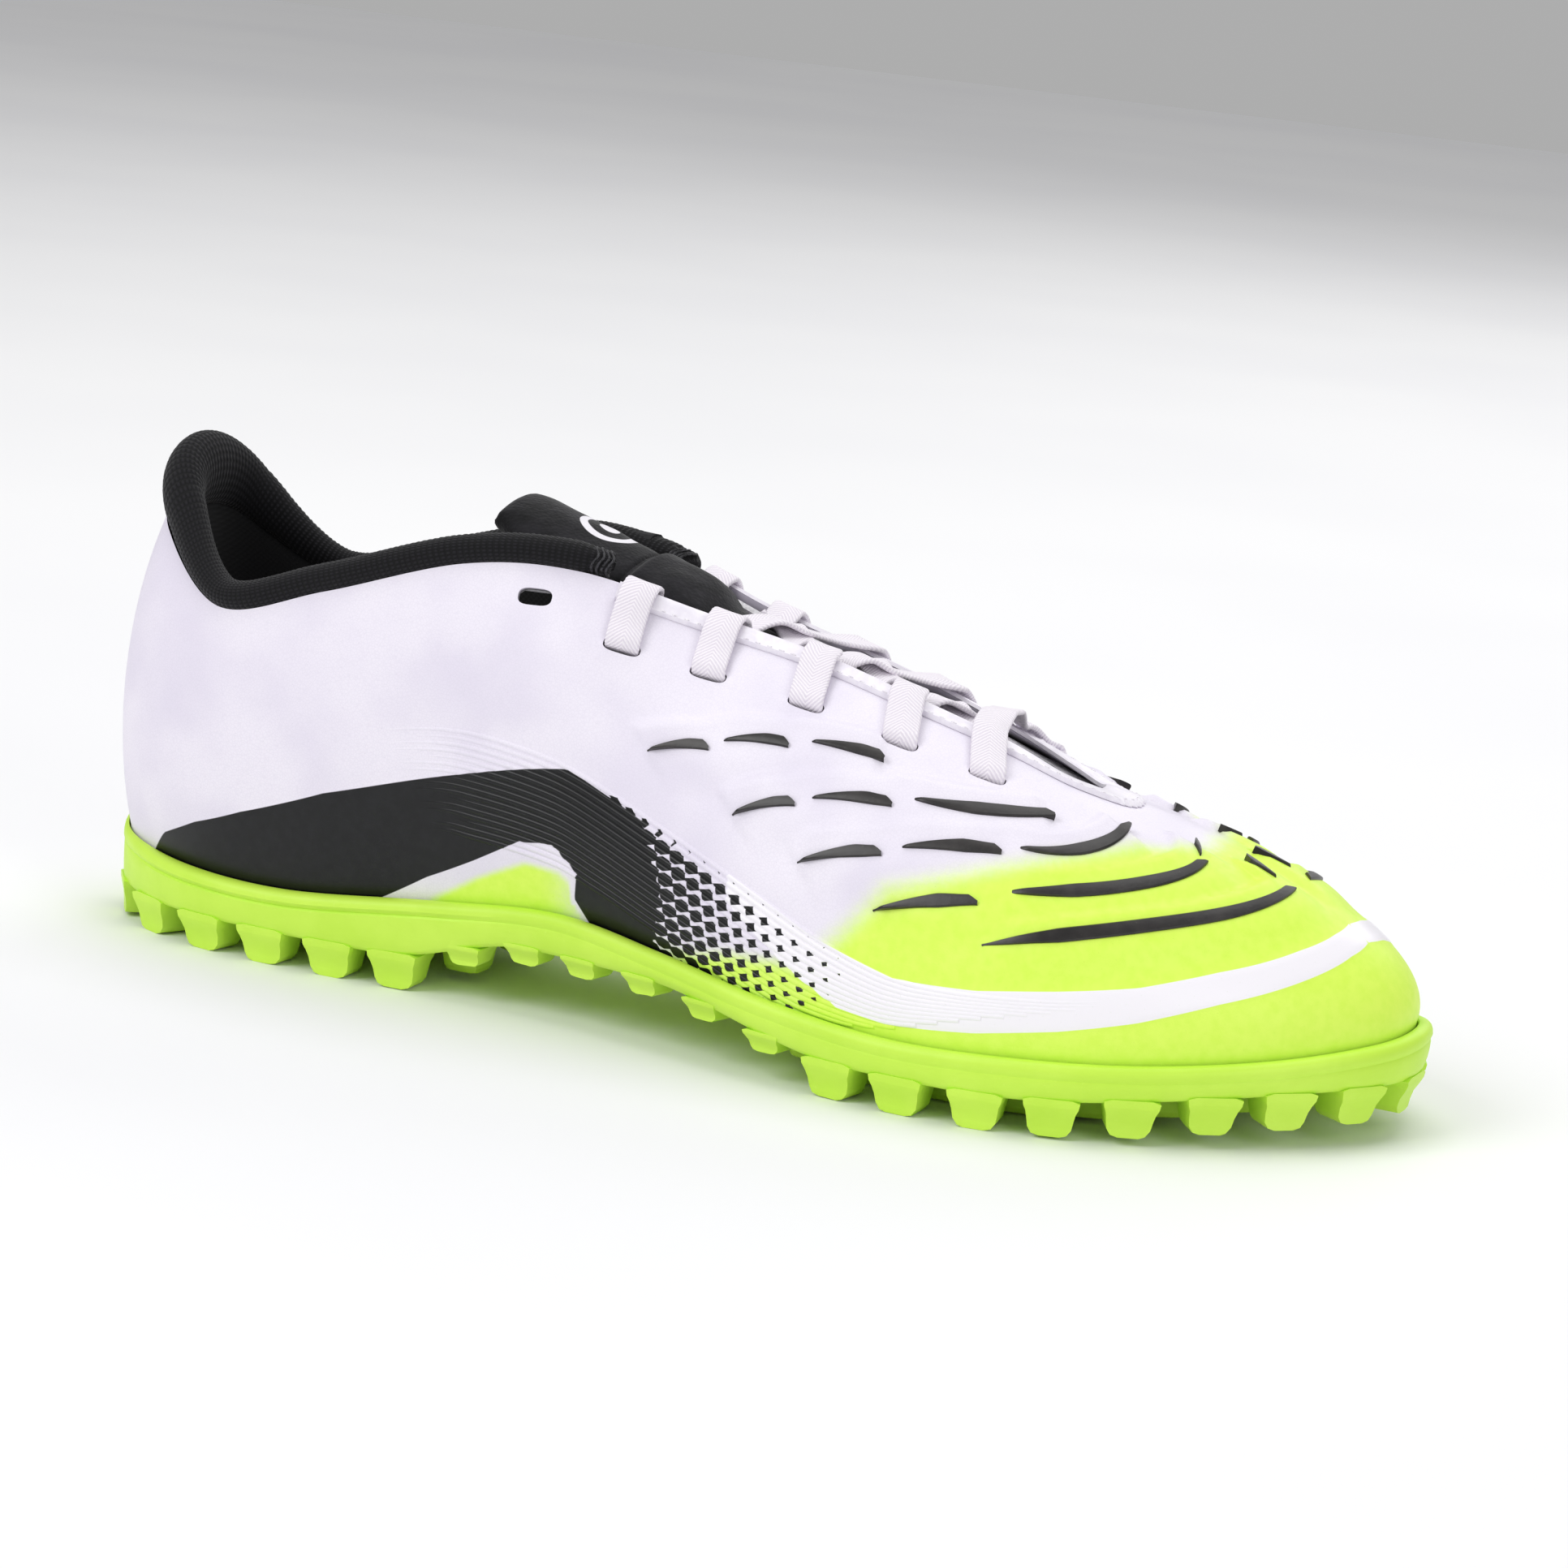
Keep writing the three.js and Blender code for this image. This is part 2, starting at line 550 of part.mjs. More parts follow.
const outOfSlot = (u) => [
  laceOn(u, SLOT_V, LACE_UNDER + 0.5),
  laceOn(u, SLOT_V - 0.002, -backingDepth),
  laceOn(u, SLOT_V, -0.2),
  laceOn(u, SLOT_V + 0.014, LACE_OVER),
];
const overEdge = (u) => [
  laceOn(u, 0.88, LACE_OVER + 0.25),
  laceOn(u, 0.965, LACE_TRIM),
  laceOn(u, 1, LACE_TRIM, 1.2),
];
const underEdge = (u) => [
  laceOn(u, 1, LACE_UNDER - 0.4, 2.5),
  laceOn(u, 0.93, LACE_UNDER - 0.4),
  laceOn(u, 0.84, LACE_UNDER - 0.4),
  laceOn(u, 0.815, LACE_UNDER - 0.2),
];
const roundEdge = (u, next) => [
  laceOn(u, 1, -SHELL_THICK, 3.8),
  laceOn(THREE.MathUtils.lerp(u, next, 0.25), 0.97, LACE_UNDER - 0.9),
  laceOn(THREE.MathUtils.lerp(u, next, 0.75), 0.88, LACE_UNDER - 0.4),
  laceOn(next, 0.83, LACE_UNDER - 0.4),
];

// half of the lace from the middle of the bar; side true starts on the lateral side
function laceHalf(lateral, raise) {
  const place = (index, flipped) => {
    const onLateral = flipped ? !lateral : lateral;
    return onLateral ? EYELETS[index] : medial(EYELETS[index]);
  };
  const frames = [];
  frames.push(...overEdge(place(0, false)).reverse(), ...outOfSlot(place(0, false)).reverse());
  let flipped = false;
  for (let index = 0; index < 3; index += 1) {
    const leave = index === 0 ? underEdge(place(0, flipped)).reverse() : overEdge(place(index, flipped));
    const arrive = underEdge(place(index + 1, !flipped));
    const lift = index % 2 === 0 ? raise : LACE_CROSS - raise;
    frames.push(...leave, ...crossing(leave.at(-1), arrive[0], lift), ...arrive);
    flipped = !flipped;
    frames.push(...outOfSlot(place(index + 1, flipped)));
  }
  const [fourth, fifth] = [place(3, flipped), place(4, flipped)];
  frames.push(...overEdge(fourth), ...roundEdge(fourth, fifth), ...outOfSlot(fifth), ...overEdge(fifth));
  const inside = (step) => (fifth < STATION_COUNT / 2 ? fifth - step : fifth + step);
  frames.push(laceOn(fifth, 1, -SHELL_THICK, 3.4), laceOn(inside(0.15), 0.9, LACE_TAIL));
  frames.push(laceOn(inside(0.5), 0.72, LACE_TAIL), laceOn(inside(1), 0.58, LACE_TAIL));
  frames.push(laceOn(inside(1.6), 0.53, LACE_TAIL), laceOn(inside(2.3), 0.52, LACE_TAIL));
  return frames;
}

function laceFrames() {
  const first = laceHalf(true, 0);
  const second = laceHalf(false, LACE_CROSS);
  const bar = crossing(first[0], second[0], BAR_RISE);
  return [...first.toReversed(), ...bar, ...second];
}

function ribbon(frames, step) {
  const curve = new THREE.CatmullRomCurve3(frames.map((frame) => frame.point), false, "centripetal");
  const spans = frames.length - 1;
  const sections = [];
  frames.slice(0, -1).forEach((frame, i) => {
    const pieces = Math.max(1, Math.round(frame.point.distanceTo(frames[i + 1].point) / step));
    for (let k = 0; k < pieces + (i === spans - 1 ? 1 : 0); k += 1) {
      const t = (i + k / pieces) / spans;
      const along = curve.getTangent(t);
      const wide = frame.wide.clone().lerp(frames[i + 1].wide, k / pieces);
      wide.addScaledVector(along, -wide.dot(along)).normalize();
      const thick = along.clone().cross(wide).normalize();
      const [a, b] = [LACE_WIDTH / 2, LACE_THICK / 2];
      const corner = (x, y) => curve.getPoint(t).addScaledVector(wide, x).addScaledVector(thick, y);
      sections.push([corner(a, b), corner(-a, b), corner(-a, -b), corner(a, -b)]);
    }
  });
  return sections;
}

const lacePath = laceFrames();
const lace = () => loft(ribbon(lacePath, 5));

// the stiff tip on a lace end, lying along the lining just past the ribbon's end
function aglet(end, before) {
  const along = end.point.clone().sub(before.point).normalize();
  const start = end.point.clone().addScaledVector(along, 4 * GAP);
  const thick = along.clone().cross(end.wide).normalize();
  const section = (distance) => range(0, 2 * Math.PI, 8).slice(0, -1).map((angle) => start.clone()
    .addScaledVector(along, distance)
    .addScaledVector(end.wide, 1.7 * Math.cos(angle))
    .addScaledVector(thick, 1.1 * Math.sin(angle)));
  return loft([section(0), section(18)]);
}

// ---- fins: dark rubber blades along the forefoot ----
function fin([, startU, startV, endU, endV, bow], mirror) {
  const place = (t, out) => {
    const u = THREE.MathUtils.lerp(startU, endU, t);
    const v = THREE.MathUtils.lerp(startV, endV, t) + 4 * bow * t * (1 - t);
    return out === undefined ? [mirror ? medial(u) : u, v] : onUpper(mirror ? medial(u) : u, v, out);
  };
  const steps = clamp(Math.round(place(0, 0).distanceTo(place(1, 0)) / 4), 4, 14);
  return loft(range(0, 1, steps).map((t) => {
    const normal = normalOf(upper, ...place(t), 0.02, 0.005);
    const across = place(t + 0.01, 0).sub(place(t - 0.01, 0)).cross(normal).normalize();
    const taper = Math.sqrt(Math.min(1, 4 * t + 0.03, 4 * (1 - t) + 0.03));
    const half = (FIN_WIDTH / 2) * taper;
    const crest = half * 0.55;
    const corner = (side, out) => place(t, 0).addScaledVector(across, side).addScaledVector(normal, out);
    const crown = FIN_SEAT + FIN_HEIGHT;
    return [corner(half, FIN_SEAT), corner(crest, crown), corner(-crest, crown), corner(-half, FIN_SEAT)];
  }));
}

// ---- assembly ----
const group = new THREE.Group();

function add(name, geometry, color, roughness) {
  const material = new THREE.MeshStandardMaterial({ color, roughness, metalness: 0 });
  const mesh = new THREE.Mesh(geometry, material);
  mesh.name = name;
  group.add(mesh);
}

const WHITE = "#efe9f4";
const LIME = "#c4ec52";
const BLACK = "#2c2b30";
const DARK = "#343338";
// where each inner layer runs: stations round the shoe, then heights from feather to top line
const COUNTER = { end: 3.5, low: 0.1, high: 0.6 };
const PUFF = { start: 10, low: 0.1, high: 0.5 };
const QUARTER = { start: 4, end: 9.5, low: 0.1, high: 0.6 };
const PADDING = { end: 4, low: 0.7, high: 0.9 };
const TAPE = { start: 4.5, end: 10, low: 0.7 };
const HEEL_LINING = { end: 4, low: 0.1 };
const VAMP_LINING = { start: 4.5, low: 0.1, high: 0.6 };
const backing = (from, to, low, high) => layer(from, to, low, high, backingDepth, BACKING_THICK);
const lining = (from, to, low, high) => layer(from, to, low, high, liningDepth, LINING_THICK);

add("outsole", outsole(), LIME, 0.5);
add("lasting_board", footbed(SHELL_THICK + GAP, 0, BOARD_THICK), "#d9cfb8", 0.9);
const sockLow = BOARD_THICK + GAP;
const sockInset = liningDepth + LINING_THICK + SOCK_CLEAR;
add("sockliner", footbed(sockInset, sockLow, sockLow + SOCK_THICK), DARK, 0.9);
add("upper_shell", withSlots(layer(0, STATION_COUNT, 0, 1, 0, SHELL_THICK, true), allSlots), WHITE, 0.5);
add("heel_counter", backing(-COUNTER.end, COUNTER.end, COUNTER.low, COUNTER.high), "#c9c2b4", 0.8);
add("toe_puff", backing(PUFF.start, medial(PUFF.start), PUFF.low, PUFF.high), "#c9c2b4", 0.8);
const quarter = (from, to) => backing(from, to, QUARTER.low, QUARTER.high);
add("quarter_foam_lateral", quarter(QUARTER.start, QUARTER.end), "#cfd2d6", 0.9);
add("quarter_foam_medial", quarter(medial(QUARTER.end), medial(QUARTER.start)), "#cfd2d6", 0.9);
add("collar_padding", backing(-PADDING.end, PADDING.end, PADDING.low, PADDING.high), "#9a9ca2", 0.95);
const tape = (from, to) => backing(from, to, TAPE.low, 1);
const tapeSlots = (mirror) => slotPlaces.map(([u, v]) => [mirror ? medial(u) : u, v]);
add("eyelet_tape_lateral", withSlots(tape(TAPE.start, TAPE.end), tapeSlots(false)), "#e8e8e8", 0.9);
const medialTape = tape(medial(TAPE.end), medial(TAPE.start));
add("eyelet_tape_medial", withSlots(medialTape, tapeSlots(true)), "#e8e8e8", 0.9);
add("lining_heel", lining(-HEEL_LINING.end, HEEL_LINING.end, HEEL_LINING.low, 1), BLACK, 0.95);
const vampLining = lining(VAMP_LINING.start, medial(VAMP_LINING.start), VAMP_LINING.low, VAMP_LINING.high);
add("lining_vamp", vampLining, BLACK, 0.95);
add("collar_cover", collarCover(), DARK, 0.9);
add("collar_foam", collarFoam(), "#9a9ca2", 0.95);
add("eyestay_trim", eyestayTrim(), WHITE, 0.4);
for (const [name, outside, thickness, margin] of tongueLayers) {
  const split = 0.04;
  const fixed = tongueLayer(0, TONGUE_SPLIT - split, outside, thickness, margin);
  const tab = tongueLayer(TONGUE_SPLIT + split, tongueLast, outside, thickness, margin);
  add(`tongue_${name}`, fixed, DARK, 0.9);
  add(`tongue_tab_${name}`, tab, DARK, 0.9);
}
add("lace", lace(), "#f2ebf3", 0.85);
add("aglet_lateral", aglet(lacePath.at(0), lacePath.at(1)), "#f4f4f4", 0.3);
add("aglet_medial", aglet(lacePath.at(-1), lacePath.at(-2)), "#f4f4f4", 0.3);
for (const row of FINS) {
  add(`fin_lateral_${row[0]}`, fin(row, false), "#524d4d", 0.35);
  add(`fin_medial_${row[0]}`, fin(row, true), "#524d4d", 0.35);
}

// the part stands on the ground with its origin under the middle of its box
const box = new THREE.Box3().setFromObject(group);
const middle = box.getCenter(v3(0, 0, 0));
for (const mesh of group.children) mesh.position.set(-middle.x, -middle.y, -box.min.z);

export default group;
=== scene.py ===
import math

import bmesh
import bpy
import numpy as np
from mathutils import Matrix, Vector
from mathutils.kdtree import KDTree


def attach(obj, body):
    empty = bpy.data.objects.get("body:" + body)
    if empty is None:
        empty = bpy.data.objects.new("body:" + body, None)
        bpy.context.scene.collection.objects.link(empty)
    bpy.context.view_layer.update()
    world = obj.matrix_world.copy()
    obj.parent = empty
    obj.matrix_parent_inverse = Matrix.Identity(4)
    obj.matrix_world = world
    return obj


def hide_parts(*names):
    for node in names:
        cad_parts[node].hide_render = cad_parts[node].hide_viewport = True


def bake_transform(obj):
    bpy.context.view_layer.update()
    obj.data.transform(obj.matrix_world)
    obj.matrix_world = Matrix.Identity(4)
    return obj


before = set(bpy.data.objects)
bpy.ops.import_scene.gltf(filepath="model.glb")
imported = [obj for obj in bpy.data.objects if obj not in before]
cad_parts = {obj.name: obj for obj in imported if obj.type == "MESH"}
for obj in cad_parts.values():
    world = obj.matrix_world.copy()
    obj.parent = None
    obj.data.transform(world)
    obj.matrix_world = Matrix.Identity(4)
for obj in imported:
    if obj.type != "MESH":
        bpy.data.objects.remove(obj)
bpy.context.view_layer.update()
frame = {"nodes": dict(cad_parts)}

# A turf football shoe. The upper is one surface over (u, v): u runs round the shoe through the stations, v
# from the feather line up to the top line. Shapes are worked out in millimetres from the back of the last,
# then put in the frame.
SHIFT = np.array([-143.489, 0.423, 0.0])
MM = 0.001

# ---------------------------------------------------------------- camera
CENTRE = Vector((0.00551, 0.00042, 0.045))
AZIMUTH, ELEVATION, ROLL = (math.radians(a) for a in (22.97, 12.0, 5.3))
DISTANCE = 1.0


def set_camera():
    right = Vector((math.cos(AZIMUTH), math.sin(AZIMUTH), 0))
    back = Vector((math.sin(AZIMUTH) * math.cos(ELEVATION), -math.cos(AZIMUTH) * math.cos(ELEVATION),
                   math.sin(ELEVATION)))
    up = back.cross(right)
    across = right * math.cos(ROLL) + up * math.sin(ROLL)
    upright = up * math.cos(ROLL) - right * math.sin(ROLL)
    data = bpy.data.cameras.new("camera")
    data.lens = 112.73
    data.sensor_width = 36
    data.shift_x = 0.0064
    data.shift_y = 0.0138
    holder = bpy.data.objects.new("camera", data)
    bpy.context.scene.collection.objects.link(holder)
    holder.matrix_world = Matrix((across, upright, back)).transposed().to_4x4()
    holder.matrix_world.translation = CENTRE + back * DISTANCE
    bpy.context.scene.camera = holder


set_camera()

# ---------------------------------------------------------------- the last
STATIONS = np.array([
    [[3, 0, 21], [-5, 0, 23], [-3, 0, -18], [7.5, 0, 88]],
    [[10, -18, 19], [-3, -6, 23], [-4, -7, -16], [12.5, -16, 84.5]],
    [[30, -29, 17], [0, -5, 20], [0, -5, -14], [33, -28.5, 72]],
    [[56, -32, 16.5], [0, -5, 20], [0, -6, -16], [58, -29, 79]],
    [[90, -31, 20], [0, -7, 22], [0, -9, -20], [88, -27, 89]],
    [[118, -32, 22.5], [0, -9, 20], [0, -13, -18], [112, -23, 90.5]],
    [[144, -37, 20], [0, -9, 20], [0, -15, -14], [137, -15, 84.5]],
    [[170, -43, 16.5], [0, -7, 20], [2, -17, -10], [161, -12, 79.5]],
    [[196, -46.5, 14.5], [0, -5, 18], [6, -18, -8], [181, -11, 74]],
    [[220, -45, 15], [1, -5, 17], [10, -18, -6], [200, -8.5, 68]],
    [[244, -36.5, 16], [2, -4, 16], [20, -16, -4], [211, -5, 62.5]],
    [[266, -21, 18], [4, -3, 16], [30, -10, -6], [216, -0.5, 60]],
    [[281, -3, 20.5], [4, 0, 16], [36, -2, -7], [217.5, 3, 59]],
    [[284, 13, 21.5], [4, 2, 16], [34, 5, -7], [217, 7, 59]],
    [[277, 29, 19.5], [2, 4, 17], [28, 12, -6], [214.5, 10, 58.5]],
    [[258, 40, 17], [0, 6, 17], [18, 15, -5.5], [208, 12.5, 60.5]],
    [[232, 44.5, 15], [0, 6, 17], [8, 18, -6], [196, 14, 65]],
    [[204, 45.5, 14.5], [0, 7, 18], [2, 17, -8.5], [179, 14.5, 71]],
    [[174, 39.5, 16.5], [0, 8, 20], [0, 17, -10], [159, 15, 76.5]],
    [[146, 31, 20.5], [0, 9, 22], [0, 15, -14], [137, 16.5, 82]],
    [[118, 25.5, 23], [0, 10, 22], [0, 13, -18], [112, 22.5, 88]],
    [[90, 25.5, 20], [0, 9, 22], [0, 9, -18], [88, 27, 87]],
    [[56, 28, 16.5], [0, 6, 20], [0, 6, -14], [58, 28.5, 78.5]],
    [[30, 27, 17], [0, 5, 20], [0, 5, -14], [33, 28, 72]],
    [[10, 17, 19], [-3, 6, 23], [-4, 7, -16], [12.5, 16, 84.5]],
], float)
COUNT = len(STATIONS)
TONGUE_CREST = np.array([
    [227, 51], [214, 57], [203, 61.5], [184, 68], [164, 75], [146, 79], [137, 83],
    [128, 88], [120, 90.5], [112, 93.5], [101, 97], [87, 101],
], float)
TONGUE_LAST = len(TONGUE_CREST) - 1
GAP, SHELL, BACKING, LINING = 0.4, 1.3, 1.1, 0.8
LIP_DEPTH = 3.0
STUD_HEIGHT = 7.0
STUD_PITCH, STUD_INSET = 13.6, 3.8
TOE_SPRING, ARCH_RISE, WAIST = 5.0, 7.0, (92, 172)
TONGUE_FALL, MEDIAL_FALL = 0.026, 0.013
LACE_WIDTH, LACE_THICK = 7.2, 1.1
LACE_CLEAR, LACE_CROSS, BAR_RISE = 1.3, 1.7, 3.2
SLOT_WIDTH, SLOT_HEIGHT = LACE_WIDTH + 1.8, LACE_THICK + 2.7
EYELETS = [8.8, 7.95, 7.02, 6.17, 5.47]
SPARE = (4.69, 0.9)
SLOT_V = 0.81
COLLAR_END, TRIM_END = 5.25, 5.32
ROLL_HALF_HEIGHT, HEEL_HALF_HEIGHT, ROLL_HALF_WIDTH, HEEL_HALF_WIDTH = 2.7, 7.4, 3.6, 4.8
FINS = {
    1: [(5.81, .555, 6.32, .612, .01), (6.4, .63, 6.97, .679, .01), (7.12, .7, 7.83, .74, .005)],
    2: [(6.59, .461, 7.11, .541, .01), (7.21, .558, 7.95, .626, .01), (8.07, .651, 9.45, .743, -.01)],
    3: [(7.19, .401, 7.9, .499, .01), (8.03, .518, 8.93, .588, .01), (9.03, .607, 10.41, .785, -.042)],
    4: [(7.87, .353, 8.74, .442, .01), (8.91, .476, 11.14, .682, -.018), (11.2, .7, 11.5, .765, 0)],
    5: [(8.8, .333, 12.06, .575, .02), (12.08, .61, 12.12, .695, 0)],
}
BACK_DEPTH = SHELL + GAP
LINE_DEPTH = BACK_DEPTH + BACKING + GAP


def smooth(x, low, high):
    t = np.clip((np.asarray(x, float) - low) / (high - low), 0, 1)
    return t * t * (3 - 2 * t)


def unit(vectors):
    return vectors / np.maximum(np.linalg.norm(vectors, axis=-1, keepdims=True), 1e-9)


def catmull(points, t):
    weights = np.stack([-t + 2 * t * t - t ** 3, 2 - 5 * t * t + 3 * t ** 3, t + 4 * t * t - 3 * t ** 3,
                        -t * t + t ** 3], -1) / 2
    return np.einsum("...k,...kc->...c", weights, points)


def ring(line, u):
    wrapped = np.mod(u, COUNT)
    start = np.floor(wrapped).astype(int)
    index = (start[..., None] + np.array([-1, 0, 1, 2])) % COUNT
    return catmull(STATIONS[:, line][index], wrapped - start)


def upper(u, v):
    u, v = np.broadcast_arrays(np.asarray(u, float), np.asarray(v, float))
    feather, low, high, top = (ring(line, u) for line in range(4))
    v = v[..., None]
    return ((1 - v) ** 3 * feather + 3 * (1 - v) ** 2 * v * (feather + low)
            + 3 * (1 - v) * v * v * (top + high) + v ** 3 * top)


def upper_normal(u, v):
    around = upper(u + 0.02, v) - upper(u - 0.02, v)
    upwards = upper(u, v + 0.005) - upper(u, v - 0.005)
    return unit(np.cross(around, upwards))


def on_upper(u, v, out):
    """A point of the upper moved out along its normal, which lies level at the feather line."""
    u, v, out = np.broadcast_arrays(*(np.asarray(a, float) for a in (u, v, out)))
    normal = upper_normal(u, v)
    level = smooth(v, 0, 0.09)
    normal = unit(normal * np.stack([np.ones_like(level), np.ones_like(level), level], -1))
    return upper(u, v) + normal * out[..., None]


def drop(points, amount):
    moved = np.array(points, float)
    moved[..., 2] -= amount
    return moved


def foot(u, out):
    return drop(on_upper(u, np.zeros_like(np.asarray(u, float)), out), LIP_DEPTH)


def tongue_crest(row):
    row = np.asarray(row, float)
    start = np.clip(np.floor(row), 0, TONGUE_LAST - 1).astype(int)
    index = np.clip(start[..., None] + np.array([-1, 0, 1, 2]), 0, TONGUE_LAST)
    crest = np.stack([TONGUE_CREST[:, 0], np.zeros(TONGUE_LAST + 1), TONGUE_CREST[:, 1]], -1)
    return catmull(crest[index], row - start)


def tongue(row, across):
    row, across = np.broadcast_arrays(np.asarray(row, float), np.asarray(across, float))
    crest = tongue_crest(row)
    along = unit(tongue_crest(row + 0.05) - tongue_crest(row - 0.05))
    lift = unit(np.cross(np.array([0.0, 1.0, 0.0]), along))
    lift = np.where(lift[..., 2:] < 0, -lift, lift)
    saddle = 0.15 + 0.85 * smooth(row, 4, 6) - 0.8 * smooth(row, 7, 10)
    fall = TONGUE_FALL + MEDIAL_FALL * (across > 0)
    sag = fall * across ** 2 + 0.014 * saddle * np.maximum(0, np.abs(across) - 8) ** 3
    side = np.stack([np.zeros_like(across), across, np.zeros_like(across)], -1)
    return crest + side - lift * sag[..., None]


def on_tongue(row, across, out):
    row, across, out = np.broadcast_arrays(*(np.asarray(a, float) for a in (row, across, out)))
    normal = np.cross(tongue(row + 0.03, across) - tongue(row - 0.03, across),
                      tongue(row, across + 0.1) - tongue(row, across - 0.1))
    normal = unit(np.where(normal[..., 2:] < 0, -normal, normal))
    return tongue(row, across) + normal * out[..., None]


# ---------------------------------------------------------------- prints and relief on the upper
U_MM, V_MM = 23.0, 85.0  # about how far one step of u and v is on the surface


def fold(u):
    """The medial side carries the same prints as the lateral side."""
    u = np.mod(u, COUNT)
    return np.where(u > COUNT / 2, COUNT - u, u)


def flat(u, v):
    return np.stack(np.broadcast_arrays(fold(u) * U_MM, np.asarray(v, float) * V_MM), -1)


def to_line(points, line):
    """Distance from each point to a polyline, how far along it the nearest place is, and on which side."""
    best = np.full(points.shape[:-1], 1e9)
    along = np.zeros_like(best)
    side = np.zeros_like(best)
    passed = 0.0
    for a, b in zip(line[:-1], line[1:]):
        d = b - a
        length = math.hypot(*d)
        t = np.clip(((points - a) @ d) / length ** 2, 0, 1)
        away = points - (a + t[..., None] * d)
        gap = np.hypot(away[..., 0], away[..., 1])
        nearer = gap < best
        best = np.where(nearer, gap, best)
        along = np.where(nearer, passed + t * length, along)
        side = np.where(nearer, np.sign(d[0] * away[..., 1] - d[1] * away[..., 0]), side)
        passed += length
    return best, along, side, passed


def inside(points, polygon):
    """Signed distance to a closed outline, positive inside."""
    corners = np.array(polygon) * (U_MM, V_MM)
    looped = np.vstack([corners, corners[:1]])
    distance = to_line(points, looped)[0]
    hit = np.zeros(points.shape[:-1], bool)
    for (ax, ay), (bx, by) in zip(looped[:-1], looped[1:]):
        if ay == by:
            continue
        crosses = (points[..., 1] < ay) != (points[..., 1] < by)
        hit ^= crosses & (points[..., 0] < ax + (points[..., 1] - ay) * (bx - ax) / (by - ay))
    return np.where(hit, distance, -distance)


# outlines of the print in (u, v): the solid wedge, the halftone, the white band and the lime areas
WEDGE = [(1.55, .0), (1.71, .077), (2.1, .165), (2.57, .243), (3.24, .328), (4.08, .382), (5.15, .446),
         (5.5, .405), (5.69, .378), (5.2, .305), (4.68, .212), (4.3, .14), (3.93, .075),
         (3.43, -.05), (1.55, -.05)]
LEG = [(4.7, .215), (4.9, .43), (5.15, .446), (5.5, .405), (5.82, .37), (6.0, .2), (5.9, .02), (5.86, -.05),
       (5.35, -.05), (5.16, .07), (5.2, .16), (5.0, .225)]
TONE = [(5.3, .30), (5.5, .45), (5.6, .42), (6.24, .345), (7.36, .238), (7.75, .2), (7.6, .08), (7.3, -.05),
        (5.5, -.05), (5.4, .1)]
BAND_TOP = [(6.6, .315), (7.36, .238), (8.07, .195), (8.77, .207), (9.4, .238), (10.02, .272), (10.64, .329),
            (11.44, .387), (12.05, .422), (12.5, .436)]
BAND_LOW = [(12.5, .366), (12.0, .343), (11.29, .284), (10.59, .225), (10.0, .161), (9.41, .113),
            (8.77, .075), (8.08, .053), (7.6, .06), (7.2, .12), (6.6, .24)]
LIME_TOP = [(7.0, -.05), (7.25, .1), (7.5, .24), (7.95, .42), (8.72, .52), (9.45, .617), (10.43, .729),
            (12.5, .775)]
PATCH = [(3.72, -.05), (3.98, .03), (4.3, .1), (4.72, .165), (5.05, .16), (5.6, .05), (5.75, -.05)]
STRIP = [(5.7, -.05), (6.1, .03), (6.6, .11), (7.1, .15), (7.5, .16), (8.2, .12), (8.3, -.05)]
RIB_TOP = [(3.3, .513), (4.14, .513), (5.15, .452), (6.24, .345), (7.36, .238), (8.07, .188), (8.77, .19),
           (9.4, .205), (10.0, .235)]
RIB_COUNT, RIB_PITCH = 16, 1.62


def prints(u, v):
    """What the print carries at a place: ink, white band, lime and halftone strength."""
    points = flat(u, v)
    ink = np.maximum(inside(points, WEDGE), inside(points, LEG))
    margin = np.minimum(smooth(-ink, 0.7, 1.1), 1)
    tone_edge = inside(points, TONE)
    fade = 1.12 - 1.0 * np.clip((points[..., 0] / U_MM - 5.0) / 2.7, 0, 1) ** 0.85
    tone = np.clip(fade, 0, 1.12) * smooth(tone_edge, -0.2, 3.2)
    band = inside(points, BAND_TOP + BAND_LOW)
    closed = [(x, y) for x, y in LIME_TOP] + [(13.2, .775), (13.2, -.2), (7.0, -.2)]
    toe = smooth(inside(points, closed), -4.5, 5.5)
    patch = smooth(inside(points, PATCH), -0.6, 3.0)
    patch = patch * (0.25 + 0.75 * (1 - smooth(points[..., 0] / U_MM, 4.7, 5.5)))
    strip = 0.85 * smooth(inside(points, STRIP), -2.5, 4.5)
    lime = np.maximum(toe, np.maximum(patch, strip)) * margin
    return {"ink": ink, "band": band, "lime": lime, "tone": tone}


def fin_path(fin, steps):
    u0, v0, u1, v1, bow = fin
    t = np.linspace(0, 1, steps)
    return np.stack([u0 + (u1 - u0) * t, v0 + (v1 - v0) * t + 4 * bow * t * (1 - t)], -1)


